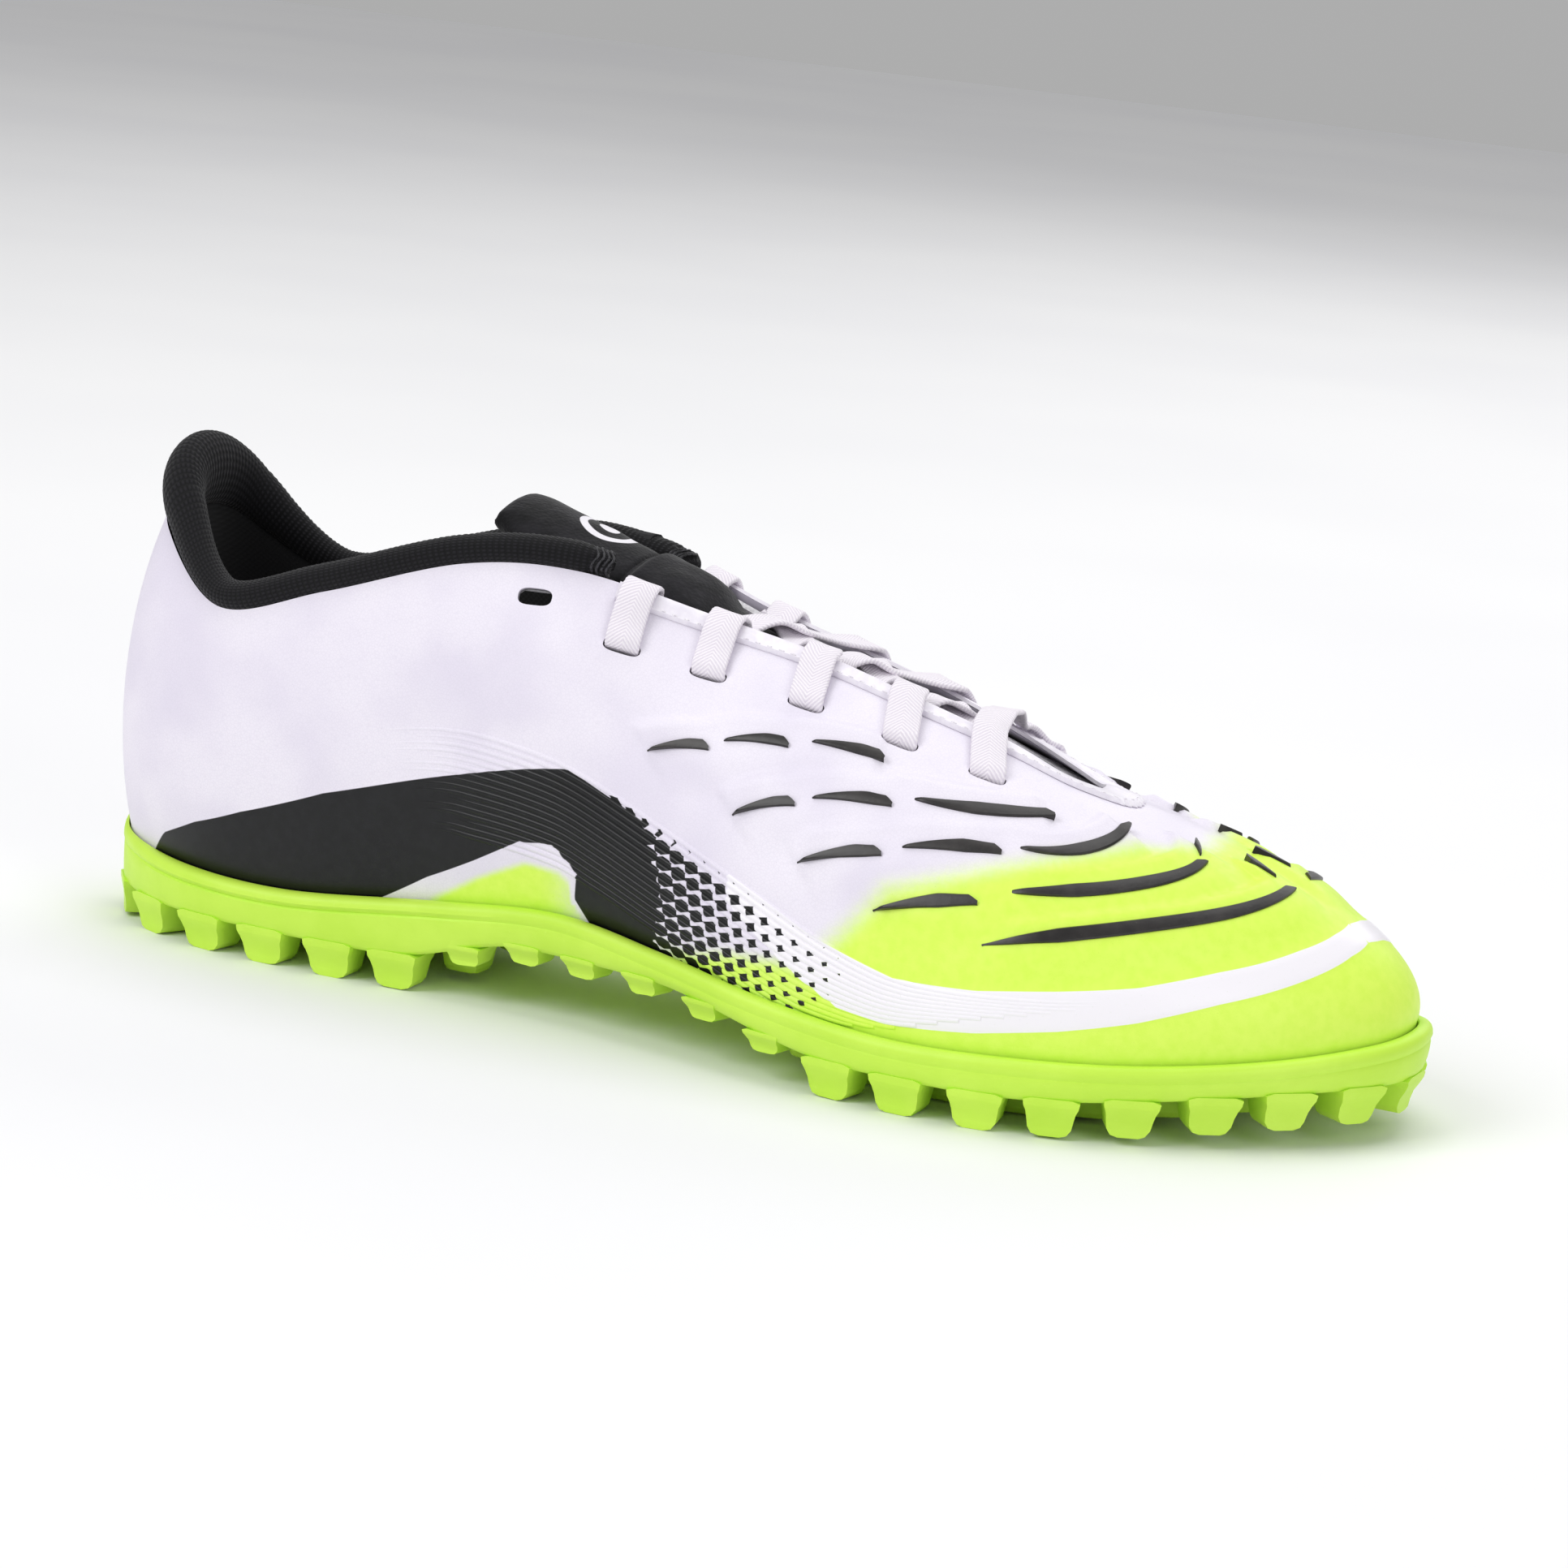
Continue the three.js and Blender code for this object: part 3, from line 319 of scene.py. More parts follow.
def relief(u, v):
    """Moulded relief in millimetres: a pad with a crisp upper edge round each row of fins."""
    points = flat(u, v)
    height = np.zeros(points.shape[:-1])
    for row, fins in FINS.items():
        line = np.vstack([fin_path(fin, 12) for fin in fins]) * (U_MM, V_MM)
        gap, along, side, length = to_line(points, line)
        above = gap * side
        reach = 6.4 if row < 5 else 5.4
        pad = (1 - smooth(above, reach - 1.5, reach + 0.4)) * smooth(above, -11, -1.5)
        ends = smooth(along, -1, 16) * (1 - smooth(along - length, -5, 0.5))
        near = 1 - smooth(gap, 9, 12.5)
        taper = np.clip(ends + 0.35 * (along > 0) * (along < length), 0, 1)
        height = np.maximum(height, 1.15 * pad * taper * near)
        rim = np.exp(-((above - reach + 1.9) / 1.1) ** 2)
        height = height + 0.25 * rim * taper * near
    band = inside(points, BAND_TOP + BAND_LOW)
    height = height + 0.22 * smooth(band, -0.6, 0.8) * smooth(points[..., 0] / U_MM, 7.6, 8.8)
    return height


# ---------------------------------------------------------------- building pieces
def bare(name, vertices, faces):
    mesh = bpy.data.meshes.new(name)
    points = (np.asarray(vertices, float).reshape(-1, 3) + SHIFT) * MM
    mesh.from_pydata(points.tolist(), [], [tuple(int(i) for i in face) for face in faces])
    made = bpy.data.objects.new(name, mesh)
    bpy.context.scene.collection.objects.link(made)
    return made


def solid(name, vertices, faces):
    """A bare piece with its points merged and its faces turned outwards."""
    return outward(bare(name, vertices, faces))


def dress(made, finish, body, replaces=(), creased=40):
    made.data.materials.clear()
    made.data.materials.append(finish)
    alone(made)
    bpy.ops.object.shade_smooth_by_angle(angle=math.radians(creased))
    if body:
        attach(made, body)
    if replaces:
        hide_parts(*replaces)
    return made


def deselect():
    for other in bpy.context.selected_objects:
        other.select_set(False)


def alone(made):
    deselect()
    made.select_set(True)
    bpy.context.view_layer.objects.active = made


def apply_modifier(made, kind, **settings):
    alone(made)
    modifier = made.modifiers.new(kind.lower(), kind)
    for key, value in settings.items():
        setattr(modifier, key, value)
    bpy.ops.object.modifier_apply(modifier=modifier.name)


def outward(made):
    alone(made)
    bpy.ops.object.mode_set(mode="EDIT")
    bpy.ops.mesh.select_all(action="SELECT")
    bpy.ops.mesh.remove_doubles(threshold=1e-6)
    bpy.ops.mesh.normals_make_consistent(inside=False)
    bpy.ops.object.mode_set(mode="OBJECT")
    return made


def put(made, name, values):
    """A value of its own for each point of a piece."""
    kept = made.data.attributes.get(name) or made.data.attributes.new(name, "FLOAT", "POINT")
    kept.data.foreach_set("value", np.asarray(values, np.float32).ravel())


def put_uv(made, name, per_point):
    mesh = made.data
    loops = np.zeros(len(mesh.loops), np.int32)
    mesh.loops.foreach_get("vertex_index", loops)
    layer = mesh.uv_layers.get(name) or mesh.uv_layers.new(name=name)
    layer.data.foreach_set("uv", np.asarray(per_point, np.float32).reshape(-1, 2)[loops].ravel())


def nearest_to(made, points):
    """For each vertex of a piece, the nearest of these points and how far off it is."""
    tree = KDTree(len(points))
    for index, point in enumerate(((points + SHIFT) * MM).tolist()):
        tree.insert(point, index)
    tree.balance()
    found = [tree.find(vertex.co)[1:] for vertex in made.data.vertices]
    return np.array([index for index, _ in found]), np.array([distance for _, distance in found])


def hann(width):
    return np.hanning(width) / np.hanning(width).sum()


def evened(values, width):
    """A moving average that repeats the end values past both ends."""
    return np.convolve(np.pad(values, width // 2, mode="edge"), hann(width), mode="valid")


def arc_length(track):
    return np.concatenate([[0], np.cumsum(np.linalg.norm(np.diff(track, axis=0), axis=1))])


def lid(points, start, around, across, place):
    """Closes a ring of points with chords from side to side; place moves each inner point."""
    extra, faces, ids = [], [], []
    for i in range(around // 2 + 1):
        a, b = start + i, start + (around - i) % around
        chord = [a] * (across + 1)
        if a != b:
            for k in range(1, across):
                chord[k] = len(points) + len(extra)
                extra.append(place(points[a] + (points[b] - points[a]) * (k / across), k / across))
            chord[across] = b
        ids.append(chord)
    for near, far in zip(ids[:-1], ids[1:]):
        for k in range(across):
            face = list(dict.fromkeys([near[k], near[k + 1], far[k + 1], far[k]]))
            if len(face) > 2:
                faces.append(face)
    return np.concatenate([points, np.array(extra)]), faces


def quads(rows, columns, wrap_rows=False, wrap_columns=False, start=0):
    i, j = np.meshgrid(np.arange(rows if wrap_rows else rows - 1),
                       np.arange(columns if wrap_columns else columns - 1), indexing="ij")
    i, j = i.ravel(), j.ravel()
    i2, j2 = (i + 1) % rows, (j + 1) % columns
    return np.stack([i * columns + j, i2 * columns + j, i2 * columns + j2, i * columns + j2], -1) + start


def slab(outer, inner, closed=False):
    """A sheet between two grids of points. Where closed joins the last row to the first, the inner grid may
    have fewer columns than the outer."""
    rows, many = outer.shape[:2]
    few = inner.shape[1]
    size = rows * many
    faces = [quads(rows, many, closed), quads(rows, few, closed, start=size)[:, ::-1]]
    i = np.arange(rows if closed else rows - 1)
    i2 = (i + 1) % rows
    for column, within in ((0, 0), (many - 1, few - 1)):
        faces.append(np.stack([i * many + column, i2 * many + column, size + i2 * few + within,
                               size + i * few + within], -1))
    if not closed:
        j = np.arange(many - 1)
        for row in (0, rows - 1):
            edge = np.stack([row * many + j, row * many + j + 1], -1)
            faces.append(np.concatenate([edge, edge[:, ::-1] + size], 1))
    return np.concatenate([outer.reshape(-1, 3), inner.reshape(-1, 3)]), np.concatenate(faces)


def tube(sections):
    """A bar through closed sections, capped at both ends."""
    rows, columns = sections.shape[:2]
    faces = [list(face) for face in quads(rows, columns, False, True)]
    faces.append(list(range(columns)))
    faces.append(list(range((rows - 1) * columns, rows * columns))[::-1])
    return sections.reshape(-1, 3), faces


def join(parts):
    """Several bodies of points and faces as one."""
    points, faces, start = [], [], 0
    for some, theirs in parts:
        points.append(some)
        faces.extend([[int(i) + start for i in face] for face in theirs])
        start += len(some)
    return np.concatenate(points), faces


# ---------------------------------------------------------------- finishes
class Wire:
    """One output in a node tree. Arithmetic on it adds Math nodes."""

    def __init__(self, finish, socket):
        self.finish, self.socket = finish, socket

    def _do(self, operation, *values):
        return self.finish.node("ShaderNodeMath", dict(enumerate(values)), operation=operation)

    def step(self, low, high, to_low=0.0, to_high=1.0):
        """Goes smoothly from to_low to to_high as the value goes from low to high."""
        return self.finish.node("ShaderNodeMapRange", {0: self, 1: low, 2: high, 3: to_low, 4: to_high},
                                interpolation_type="SMOOTHSTEP")


for mark, operation in {"add": "ADD", "sub": "SUBTRACT", "mul": "MULTIPLY", "truediv": "DIVIDE",
                        "pow": "POWER"}.items():
    def forward(self, other, operation=operation):
        return self._do(operation, self, other)

    def reflected(self, other, operation=operation):
        return self._do(operation, other, self)

    setattr(Wire, f"__{mark}__", forward)
    setattr(Wire, f"__r{mark}__", reflected)
for mark, operation in {"__abs__": "ABSOLUTE", "most": "MAXIMUM", "part": "FRACT", "floor": "FLOOR",
                        "sine": "SINE"}.items():
    def function(self, *others, operation=operation):
        return self._do(operation, self, *others)

    setattr(Wire, mark, function)


class Finish:
    """A material under construction."""

    def __init__(self, name, roughness=0.5, **fixed):
        self.material = bpy.data.materials.new(name)
        self.material.use_nodes = True
        self.tree = self.material.node_tree
        self.shader = self.tree.nodes["Principled BSDF"]
        self.shader.inputs["Roughness"].default_value = roughness
        for label, value in fixed.items():
            self.shader.inputs[label.replace("_", " ")].default_value = value

    def node(self, kind, values=None, out=0, **settings):
        made = self.tree.nodes.new(kind)
        for key, value in settings.items():
            if key == "stops":
                while len(made.color_ramp.elements) < len(value):
                    made.color_ramp.elements.new(0.5)
                for element, (place, colour) in zip(made.color_ramp.elements, value):
                    element.position = place
                    element.color = (*colour, 1) if len(colour) == 3 else colour
            else:
                setattr(made, key, value)
        for key, value in (values or {}).items():
            self.feed(made.inputs[key], value)
        return Wire(self, made.outputs[out])

    def feed(self, socket, value):
        if isinstance(value, Wire):
            self.tree.links.new(value.socket, socket)
        else:
            socket.default_value = value

    def set(self, **values):
        for label, value in values.items():
            self.feed(self.shader.inputs[label.replace("_", " ")], value)
        return self.material

    def done(self, colour, roughness, height, strength, depth):
        return self.set(Base_Color=colour, Roughness=roughness, Normal=self.bump(height, strength, depth))

    def place(self):
        return self.node("ShaderNodeTexCoord", out="Object")

    def value(self, name):
        return self.node("ShaderNodeAttribute", attribute_name=name, out="Fac")

    def uv(self, name):
        joined = self.node("ShaderNodeUVMap", uv_map=name)
        split = self.tree.nodes.new("ShaderNodeSeparateXYZ")
        self.tree.links.new(joined.socket, split.inputs[0])
        return Wire(self, split.outputs[0]), Wire(self, split.outputs[1])

    def axes(self):
        split = self.tree.nodes.new("ShaderNodeSeparateXYZ")
        self.tree.links.new(self.place().socket, split.inputs[0])
        return [Wire(self, output) for output in split.outputs]

    def noise(self, scale, detail=3.0, roughness=0.55, at=None):
        values = {"Vector": at or self.place(), "Scale": scale, "Detail": detail, "Roughness": roughness}
        return self.node("ShaderNodeTexNoise", values)

    def cells(self, scale, feature="F1", at=None, out=0, **settings):
        return self.node("ShaderNodeTexVoronoi", {"Vector": at or self.place(), "Scale": scale}, out=out,
                         feature=feature, **settings)

    def mix(self, amount, first, second):
        made = self.tree.nodes.new("ShaderNodeMix")
        made.data_type = "RGBA"
        self.feed(made.inputs[0], amount)
        for socket, value in ((made.inputs[6], first), (made.inputs[7], second)):
            self.feed(socket, value if isinstance(value, Wire) else (*value, 1))
        return Wire(self, made.outputs[2])

    def bump(self, height, strength=0.3, depth=0.0002, under=None):
        values = {"Height": height, "Strength": strength, "Distance": depth}
        if under is not None:
            values["Normal"] = under
        return self.node("ShaderNodeBump", values)


def srgb(red, green, blue):
    def linear(c):
        c /= 255
        return c / 12.92 if c <= 0.04045 else ((c + 0.055) / 1.055) ** 2.4
    return tuple(linear(c) for c in (red, green, blue))


WHITE = srgb(240, 235, 246)
WHITE_DEEP = srgb(229, 223, 238)
LIME = srgb(224, 255, 98)
LIME_DEEP = srgb(217, 252, 86)
INK = srgb(10, 11, 13)


def coated_microfibre():
    f = Finish("coated_microfibre", 0.42, Specular_IOR_Level=0.35)
    ink, tone, lime, band = (f.value(name) for name in ("ink", "tone", "lime", "band"))
    along, across = f.uv("print")
    row = across.floor()
    shifted = (along + (row * 0.5)).part() - 0.5
    level = across.part() - 0.5
    diamond = tone - (abs(shifted) + abs(level))
    printed = ink.step(-0.12, 0.12).most(diamond.step(-0.03, 0.03)).most(f.value("back"))
    flat_band = band.step(-0.12, 0.12) * (1 - printed)
    grain = f.cells(1500, "DISTANCE_TO_EDGE").step(0.0, 0.16)
    mottle = f.noise(420, 4)
    broad = f.noise(38, 2)
    white = f.mix(broad.step(0.35, 0.7), WHITE, WHITE_DEEP)
    white = f.mix((1 - grain) * 0.22, white, srgb(214, 208, 224))
    spray = (lime + (f.noise(900, 2) - 0.5) * 0.2 * (lime * (1 - lime)) * 4).step(0.02, 0.98)
    green = f.mix(mottle.step(0.3, 0.75), LIME, LIME_DEEP)
    colour = f.mix(spray, white, green)
    colour = f.mix(flat_band, colour, srgb(247, 244, 250))
    black = f.mix(mottle.step(0.3, 0.8), INK, srgb(19, 20, 23))
    colour = f.mix(printed, colour, black)
    rough = 0.40 + mottle * 0.12 - printed * 0.12 - flat_band * 0.16
    height = grain * 0.35 * (1 - printed * 0.5) * (1 - flat_band * 0.8) + mottle * 0.5
    fine = f.bump(height, 0.16, 0.00012)
    soft = f.bump(broad, 0.12, 0.0005, fine)
    return f.set(Base_Color=colour, Roughness=rough, Normal=soft)


def outsole_rubber():
    f = Finish("outsole_rubber", 0.5)
    speck = f.noise(1400, 3)
    cloud = f.noise(60, 3)
    colour = f.mix(cloud.step(0.3, 0.7), srgb(208, 247, 84), srgb(199, 241, 72))
    colour = f.mix(speck.step(0.62, 0.85) * 0.35, colour, srgb(218, 252, 112))
    height = speck + f.noise(350, 2) * 0.8
    return f.done(colour, 0.42 + cloud * 0.14, height, 0.3, 0.00014)


def inlay_rubber():
    f = Finish("inlay_rubber", 0.32)
    streak = f.noise(160, 4)
    painted_glint_noise = f.noise(1100, 2)
    colour = f.mix(streak.step(0.35, 0.7), srgb(27, 24, 24), srgb(48, 44, 43))
    # lighter flecks in the highlight colour are painted glints on the glossy rubber; the same noise also adds
    # to the bump
    colour = f.mix(painted_glint_noise.step(0.68, 0.8) * 0.5, colour, srgb(80, 75, 74))
    return f.done(colour, 0.26 + streak * 0.2, streak + painted_glint_noise * 0.4, 0.35, 0.0002)


def collar_knit():
    f = Finish("collar_knit", 0.85, Sheen_Weight=0.12, Sheen_Roughness=0.4, Specular_IOR_Level=0.25)
    along, across = f.uv("cloth")
    course = (along * 6.2832).sine()
    wale = (across * 6.2832).sine()
    loops = (course * 0.5 + 0.5) * (wale * 0.4 + 0.6)
    fuzz = f.noise(1600, 3)
    colour = f.mix(loops.step(0.1, 0.9), srgb(14, 14, 16), srgb(33, 32, 36))
    colour = f.mix(fuzz.step(0.6, 0.9) * 0.4, colour, srgb(50, 49, 54))
    return f.done(colour, 0.8 + fuzz * 0.15, loops + fuzz * 0.5, 0.5, 0.00025)


def brushed_cloth():
    f = Finish("brushed_cloth", 0.9, Sheen_Weight=0.15, Sheen_Roughness=0.45, Specular_IOR_Level=0.25)
    along, across = f.uv("cloth")
    spread = (along * along + across * across) ** 0.5
    ring_print = (abs(spread - 5.6)).step(0.95, 0.75)
    dot_print = spread.step(2.35, 2.15)
    printed = ring_print.most(dot_print)
    nap = f.noise(700, 4)
    cloud = f.noise(150, 3)
    knit = f.cells(1300)
    colour = f.mix(cloud.step(0.3, 0.7), srgb(16, 16, 18), srgb(33, 32, 36))
    colour = f.mix(nap.step(0.55, 0.8) * 0.5, colour, srgb(47, 46, 51))
    colour = f.mix(printed, colour, srgb(236, 233, 240))
    height = nap * (1 - printed * 0.7) + knit * 0.6
    return f.done(colour, 0.92 - printed * 0.4, height, 0.45, 0.0003)


def woven_lace():
    f = Finish("woven_lace", 0.8, Sheen_Weight=0.15)
    along, across = f.uv("cloth")
    slant = (along + abs(across) * 0.9) * 1.25
    strand = ((slant * 6.2832).sine()) * 0.5 + 0.5
    cross = ((across * 1.45 * 6.2832).sine()) * 0.5 + 0.5
    weave = strand * 0.7 + cross * 0.3 * strand
    fuzz = f.noise(1900, 3)
    # the colour is darker where the weave is low: painted shade in the grooves of the braid
    colour = f.mix(weave.step(0.05, 0.75), srgb(229, 222, 233), srgb(248, 243, 249))
    colour = f.mix(fuzz.step(0.55, 0.8) * 0.3, colour, srgb(238, 232, 241))
    return f.done(colour, 0.78 + fuzz * 0.12, weave + fuzz * 0.3, 0.5, 0.0002)


def smooth_film():
    f = Finish("smooth_film", 0.35)
    mottle = f.noise(500, 3)
    colour = f.mix(mottle.step(0.3, 0.7), srgb(243, 239, 247), srgb(233, 228, 239))
    return f.done(colour, 0.3 + mottle * 0.16, mottle, 0.2, 0.00012)


def sewing_thread(name, light, dark):
    f = Finish(name, 0.6)
    twist = (f.noise(2600, 1)).step(0.35, 0.65)
    return f.done(f.mix(twist, dark, light), 0.55 + twist * 0.1, twist, 0.5, 0.0001)


def lining_cloth():
    f = Finish("lining_cloth", 0.95, Sheen_Weight=0.2)
    x, y, z = f.axes()
    weave = ((x * 5200).sine() * (z * 5200).sine()) * 0.5 + 0.5
    cloud = f.noise(120, 3)
    colour = f.mix(weave.step(0.2, 0.8), srgb(10, 10, 12), srgb(19, 19, 22))
    colour = f.mix(cloud.step(0.45, 0.8) * 0.4, colour, srgb(26, 26, 29))
    return f.done(colour, 0.9 + cloud * 0.08, weave + cloud * 0.5, 0.5, 0.0002)


def plain_stuff(name, first, second, scale, roughness, strength=0.4):
    """Foam, fibre board, tape and other stuffs inside the shoe, each with its own grain."""
    f = Finish(name, roughness)
    grain = f.cells(scale)
    cloud = f.noise(scale / 9, 3)
    colour = f.mix(grain.step(0.1, 0.7), first, second)
    return f.done(colour, roughness - 0.1 + cloud * 0.15, grain + cloud, strength, 0.0002)


def floor_paper():
    f = Finish("floor_paper", 0.9)
    return f.set(Base_Color=f.mix(f.noise(3, 2).step(0.3, 0.7), srgb(247, 247, 248), srgb(243, 243, 245)))


skin_finish = coated_microfibre()
rubber_finish = outsole_rubber()
fin_finish = inlay_rubber()
knit_finish = collar_knit()
tongue_finish = brushed_cloth()
lace_finish = woven_lace()
film_finish = smooth_film()
thread_finish = sewing_thread("white_thread", srgb(247, 244, 249), srgb(216, 210, 221))
dark_thread_finish = sewing_thread("black_thread", srgb(58, 57, 62), srgb(22, 22, 25))
lining_finish = lining_cloth()

# ---------------------------------------------------------------- upper skin, its slots and ribs
AROUND, RISE = 680, 84


def print_onto(made, u, v):
    for name, values in prints(u, v).items():
        put(made, name, values)
    points = flat(u, v)
    slope = math.radians(-20)
    along = points[..., 0] * math.cos(slope) + points[..., 1] * math.sin(slope)
    across = -points[..., 0] * math.sin(slope) + points[..., 1] * math.cos(slope)
    put_uv(made, "print", np.stack([along / 3.3, across / (2 * RIB_PITCH)], -1))


def slot_outline(u, v):
    """The slot's rounded outline in its own plane, pushed through the layers."""
    at = on_upper(u, v, 0.0)
    normal = upper_normal(np.array(u), np.array(v))
    along = unit(upper(u + 0.05, v) - upper(u - 0.05, v))
    across = np.cross(normal, along)
    half, rise = (3.6, 1.8) if v > 0.85 else (SLOT_WIDTH / 2 - 0.6, SLOT_HEIGHT / 2 - 0.5)
    angle = np.linspace(0, 2 * np.pi, 33)[:-1]
    a = np.sign(np.cos(angle)) * np.abs(np.cos(angle)) ** 0.55 * half
    b = np.sign(np.sin(angle)) * np.abs(np.sin(angle)) ** 0.75 * rise
    rings = [at + normal * out + a[:, None] * along + b[:, None] * across for out in (-9.0, 4.0)]
    return np.stack(rings)


def slot_cutter():
    places = [(u, SLOT_V) for u in EYELETS] + [SPARE]
    places += [(COUNT - u, v) for u, v in places]
    return solid("slot_cutter", *join([tube(slot_outline(u, v)) for u, v in places]))


def cut(made, tool, operation="DIFFERENCE"):
    apply_modifier(made, "BOOLEAN", operation=operation, object=tool, solver="MANIFOLD")
    bpy.data.objects.remove(tool)


def make_skin():
    u = np.arange(AROUND) * COUNT / AROUND
    v = np.linspace(0, 1, RISE) ** 0.96
    uu, vv = np.meshgrid(u, v, indexing="ij")
    outer = on_upper(uu, vv, relief(uu, vv) * smooth(vv, 0, 0.02))
    inner = on_upper(uu, vv, -SHELL)
    stand = foot(u, 0.0)[:, None], foot(u, -SHELL)[:, None]
    outer = np.concatenate([stand[0], outer], 1)
    inner = np.concatenate([stand[1], inner[:, ::7]], 1)
    skin = solid("upper_skin", *slab(outer, inner, closed=True))
    cut(skin, slot_cutter())
    nearest, distance = nearest_to(skin, outer[:, 1:].reshape(-1, 3))
    print_onto(skin, uu.ravel()[nearest], vv.ravel()[nearest])
    put(skin, "back", distance > 0.8 * SHELL * MM)
    dress(skin, skin_finish, "shoe", ["upper_shell"], 42)


def rib_bodies(mirror):
    """Fine ribs that run down the quarter from below the ankle into the band over the toes."""
    top = np.array(RIB_TOP)
    bodies, us, vs = [], [], []
    for k in range(RIB_COUNT):
        start = 3.36 + 0.035 * k + 0.22 * (k % 3 == 1)
        stop = min(10.0, 9.9 - 0.18 * k)
        u = np.linspace(start, stop, 190)
        squeeze = 1 - 0.45 * smooth(u, 7.0, 9.0)
        v = np.interp(u, top[:, 0], top[:, 1])
        v = evened(v, 25)
        slope = np.gradient(v * V_MM, u * U_MM)
        v = v - k * RIB_PITCH * squeeze * np.sqrt(1 + slope ** 2) / V_MM
        kept = v > -0.01
        if kept.sum() < 12:
            continue
        last = np.argmax(~kept) if (~kept).any() else len(u)
        u, v = u[:last], v[:last]
        steps = np.linspace(0, 1, len(u))
        swell = smooth(steps, 0, 0.18) * (1 - smooth(u, 8.4, 9.9) * 0.92)
        u_true = COUNT - u if mirror else u
        base = relief(u_true, v)
        centre = on_upper(u_true, v, base)
        normal = upper_normal(u_true, v)
        along = unit(np.gradient(centre, axis=0))
        side = unit(np.cross(along, normal))
        angle = np.radians([0, 45, 90, 135, 180, 270])
        wide = 0.58 * (0.35 + 0.65 * swell)
        high = 0.30 * swell
        section, true_v = [], []
        for a in angle:
            true_v.append(v + np.cos(a) * wide / V_MM * (1 if mirror else -1))
            lift = np.sin(a) * high if np.sin(a) > 0 else -0.35 * np.ones_like(high) * (a > np.pi)
            section.append(centre + side * (np.cos(a) * wide)[:, None] + normal * (lift - 0.03)[:, None])
        bodies.append(tube(np.stack(section, 1)))
        us.append(np.repeat(u_true, len(angle)))
        vs.append(np.stack(true_v, 1).ravel())
    return bodies, np.concatenate(us), np.concatenate(vs)


def make_ribs():
    lateral, u1, v1 = rib_bodies(False)
    inner, u2, v2 = rib_bodies(True)
    ribs = dress(bare("upper_ribs", *join(lateral + inner)), skin_finish, "shoe", (), 60)
    print_onto(ribs, np.concatenate([u1, u2]), np.concatenate([v1, v2]))


# ---------------------------------------------------------------- fins
def fin_body(fin, mirror):
    steps = 44
    u0, v0, u1, v1, bow = fin

    def spot(t):
        u = u0 + (u1 - u0) * t
        return (COUNT - u if mirror else u), v0 + (v1 - v0) * t + 4 * bow * t * (1 - t)

    t = np.linspace(0, 1, steps)
    u, v = spot(t)
    centre = on_upper(u, v, 0.0)
    length = np.linalg.norm(np.diff(centre, axis=0), axis=1).sum()
    long_taper = np.clip(t * length / 13, 0, 1) ** 0.75
    half = 1.45 * np.maximum(long_taper, 0.12) * (1 - 0.25 * smooth(t, 0.6, 1.0))
    slant = 1.6 / length
    sections = []
    profile = [(-1, 0.15), (-1, 1.0), (-0.82, 1.28), (-0.3, 1.34), (0.3, 1.34), (0.82, 1.28), (1, 1.0),
               (1, 0.15)]
    for side, height in profile:
        shifted = np.clip(t - side * slant * smooth(t, 0.5, 1), 0, 1.02)
        us, vs = spot(shifted)
        mid = on_upper(us, vs, 0.0)
        normal = upper_normal(us, vs)
        ahead = on_upper(*spot(shifted + 0.01), 0.0) - on_upper(*spot(shifted - 0.01), 0.0)
        across = unit(np.cross(ahead, normal)) * (-1 if not mirror else 1)
        ease = np.where(height > 0.5, smooth(t, -0.02, 0.12), 1)
        lift = np.where(height > 0.5, 0.35 + (height - 0.35 + 0.42) * ease, height)
        sections.append(mid + across * (half * side)[:, None] + normal * lift[:, None])
    return tube(np.stack(sections, 1))


def make_fins():
    for side, mirror in (("lateral", False), ("medial", True)):
        for row, fins in FINS.items():
            for letter, fin in zip("abc", fins):
                label = f"{side}_row{row}_{letter}"
                made = solid(f"blade_{label}", *fin_body(fin, mirror))
                dress(made, fin_finish, "shoe", [f"fin_{label}"], 38)


# ---------------------------------------------------------------- outsole
def sole_lift(x):
    arch = ARCH_RISE * smooth(x, 78, 112) * (1 - smooth(x, 140, 190))
    return arch + TOE_SPRING * smooth(x, 215, 285) + 1.2 * (1 - smooth(x, 2, 20))


def outline(u, out):
    return on_upper(u, np.zeros_like(np.asarray(u, float)), out)


def stud_places():
    places = []
    edge = outline(np.linspace(0, COUNT, 4 * COUNT + 1), 0.0)[:, :2]
    for row in range(4):
        inset = STUD_INSET + row * STUD_PITCH
        for u in np.linspace(0, COUNT, 12 * COUNT + 1):
            at = outline(u, -inset)[:2]
            waist = WAIST[0] < at[0] < WAIST[1]
            if np.hypot(*(edge - at).T).min() <= inset - 0.4 or (waist and row):
                continue
            if all(math.hypot(*(other["at"] - at)) > STUD_PITCH for other in places):
                places.append({"u": u, "at": at, "small": waist, "outer": row == 0})
    return places


def wall_share(x):
    """How much of its full bulge the wall keeps; it lies close to the upper behind the heel."""
    return 0.3 + 0.7 * smooth(x, 2, 34)


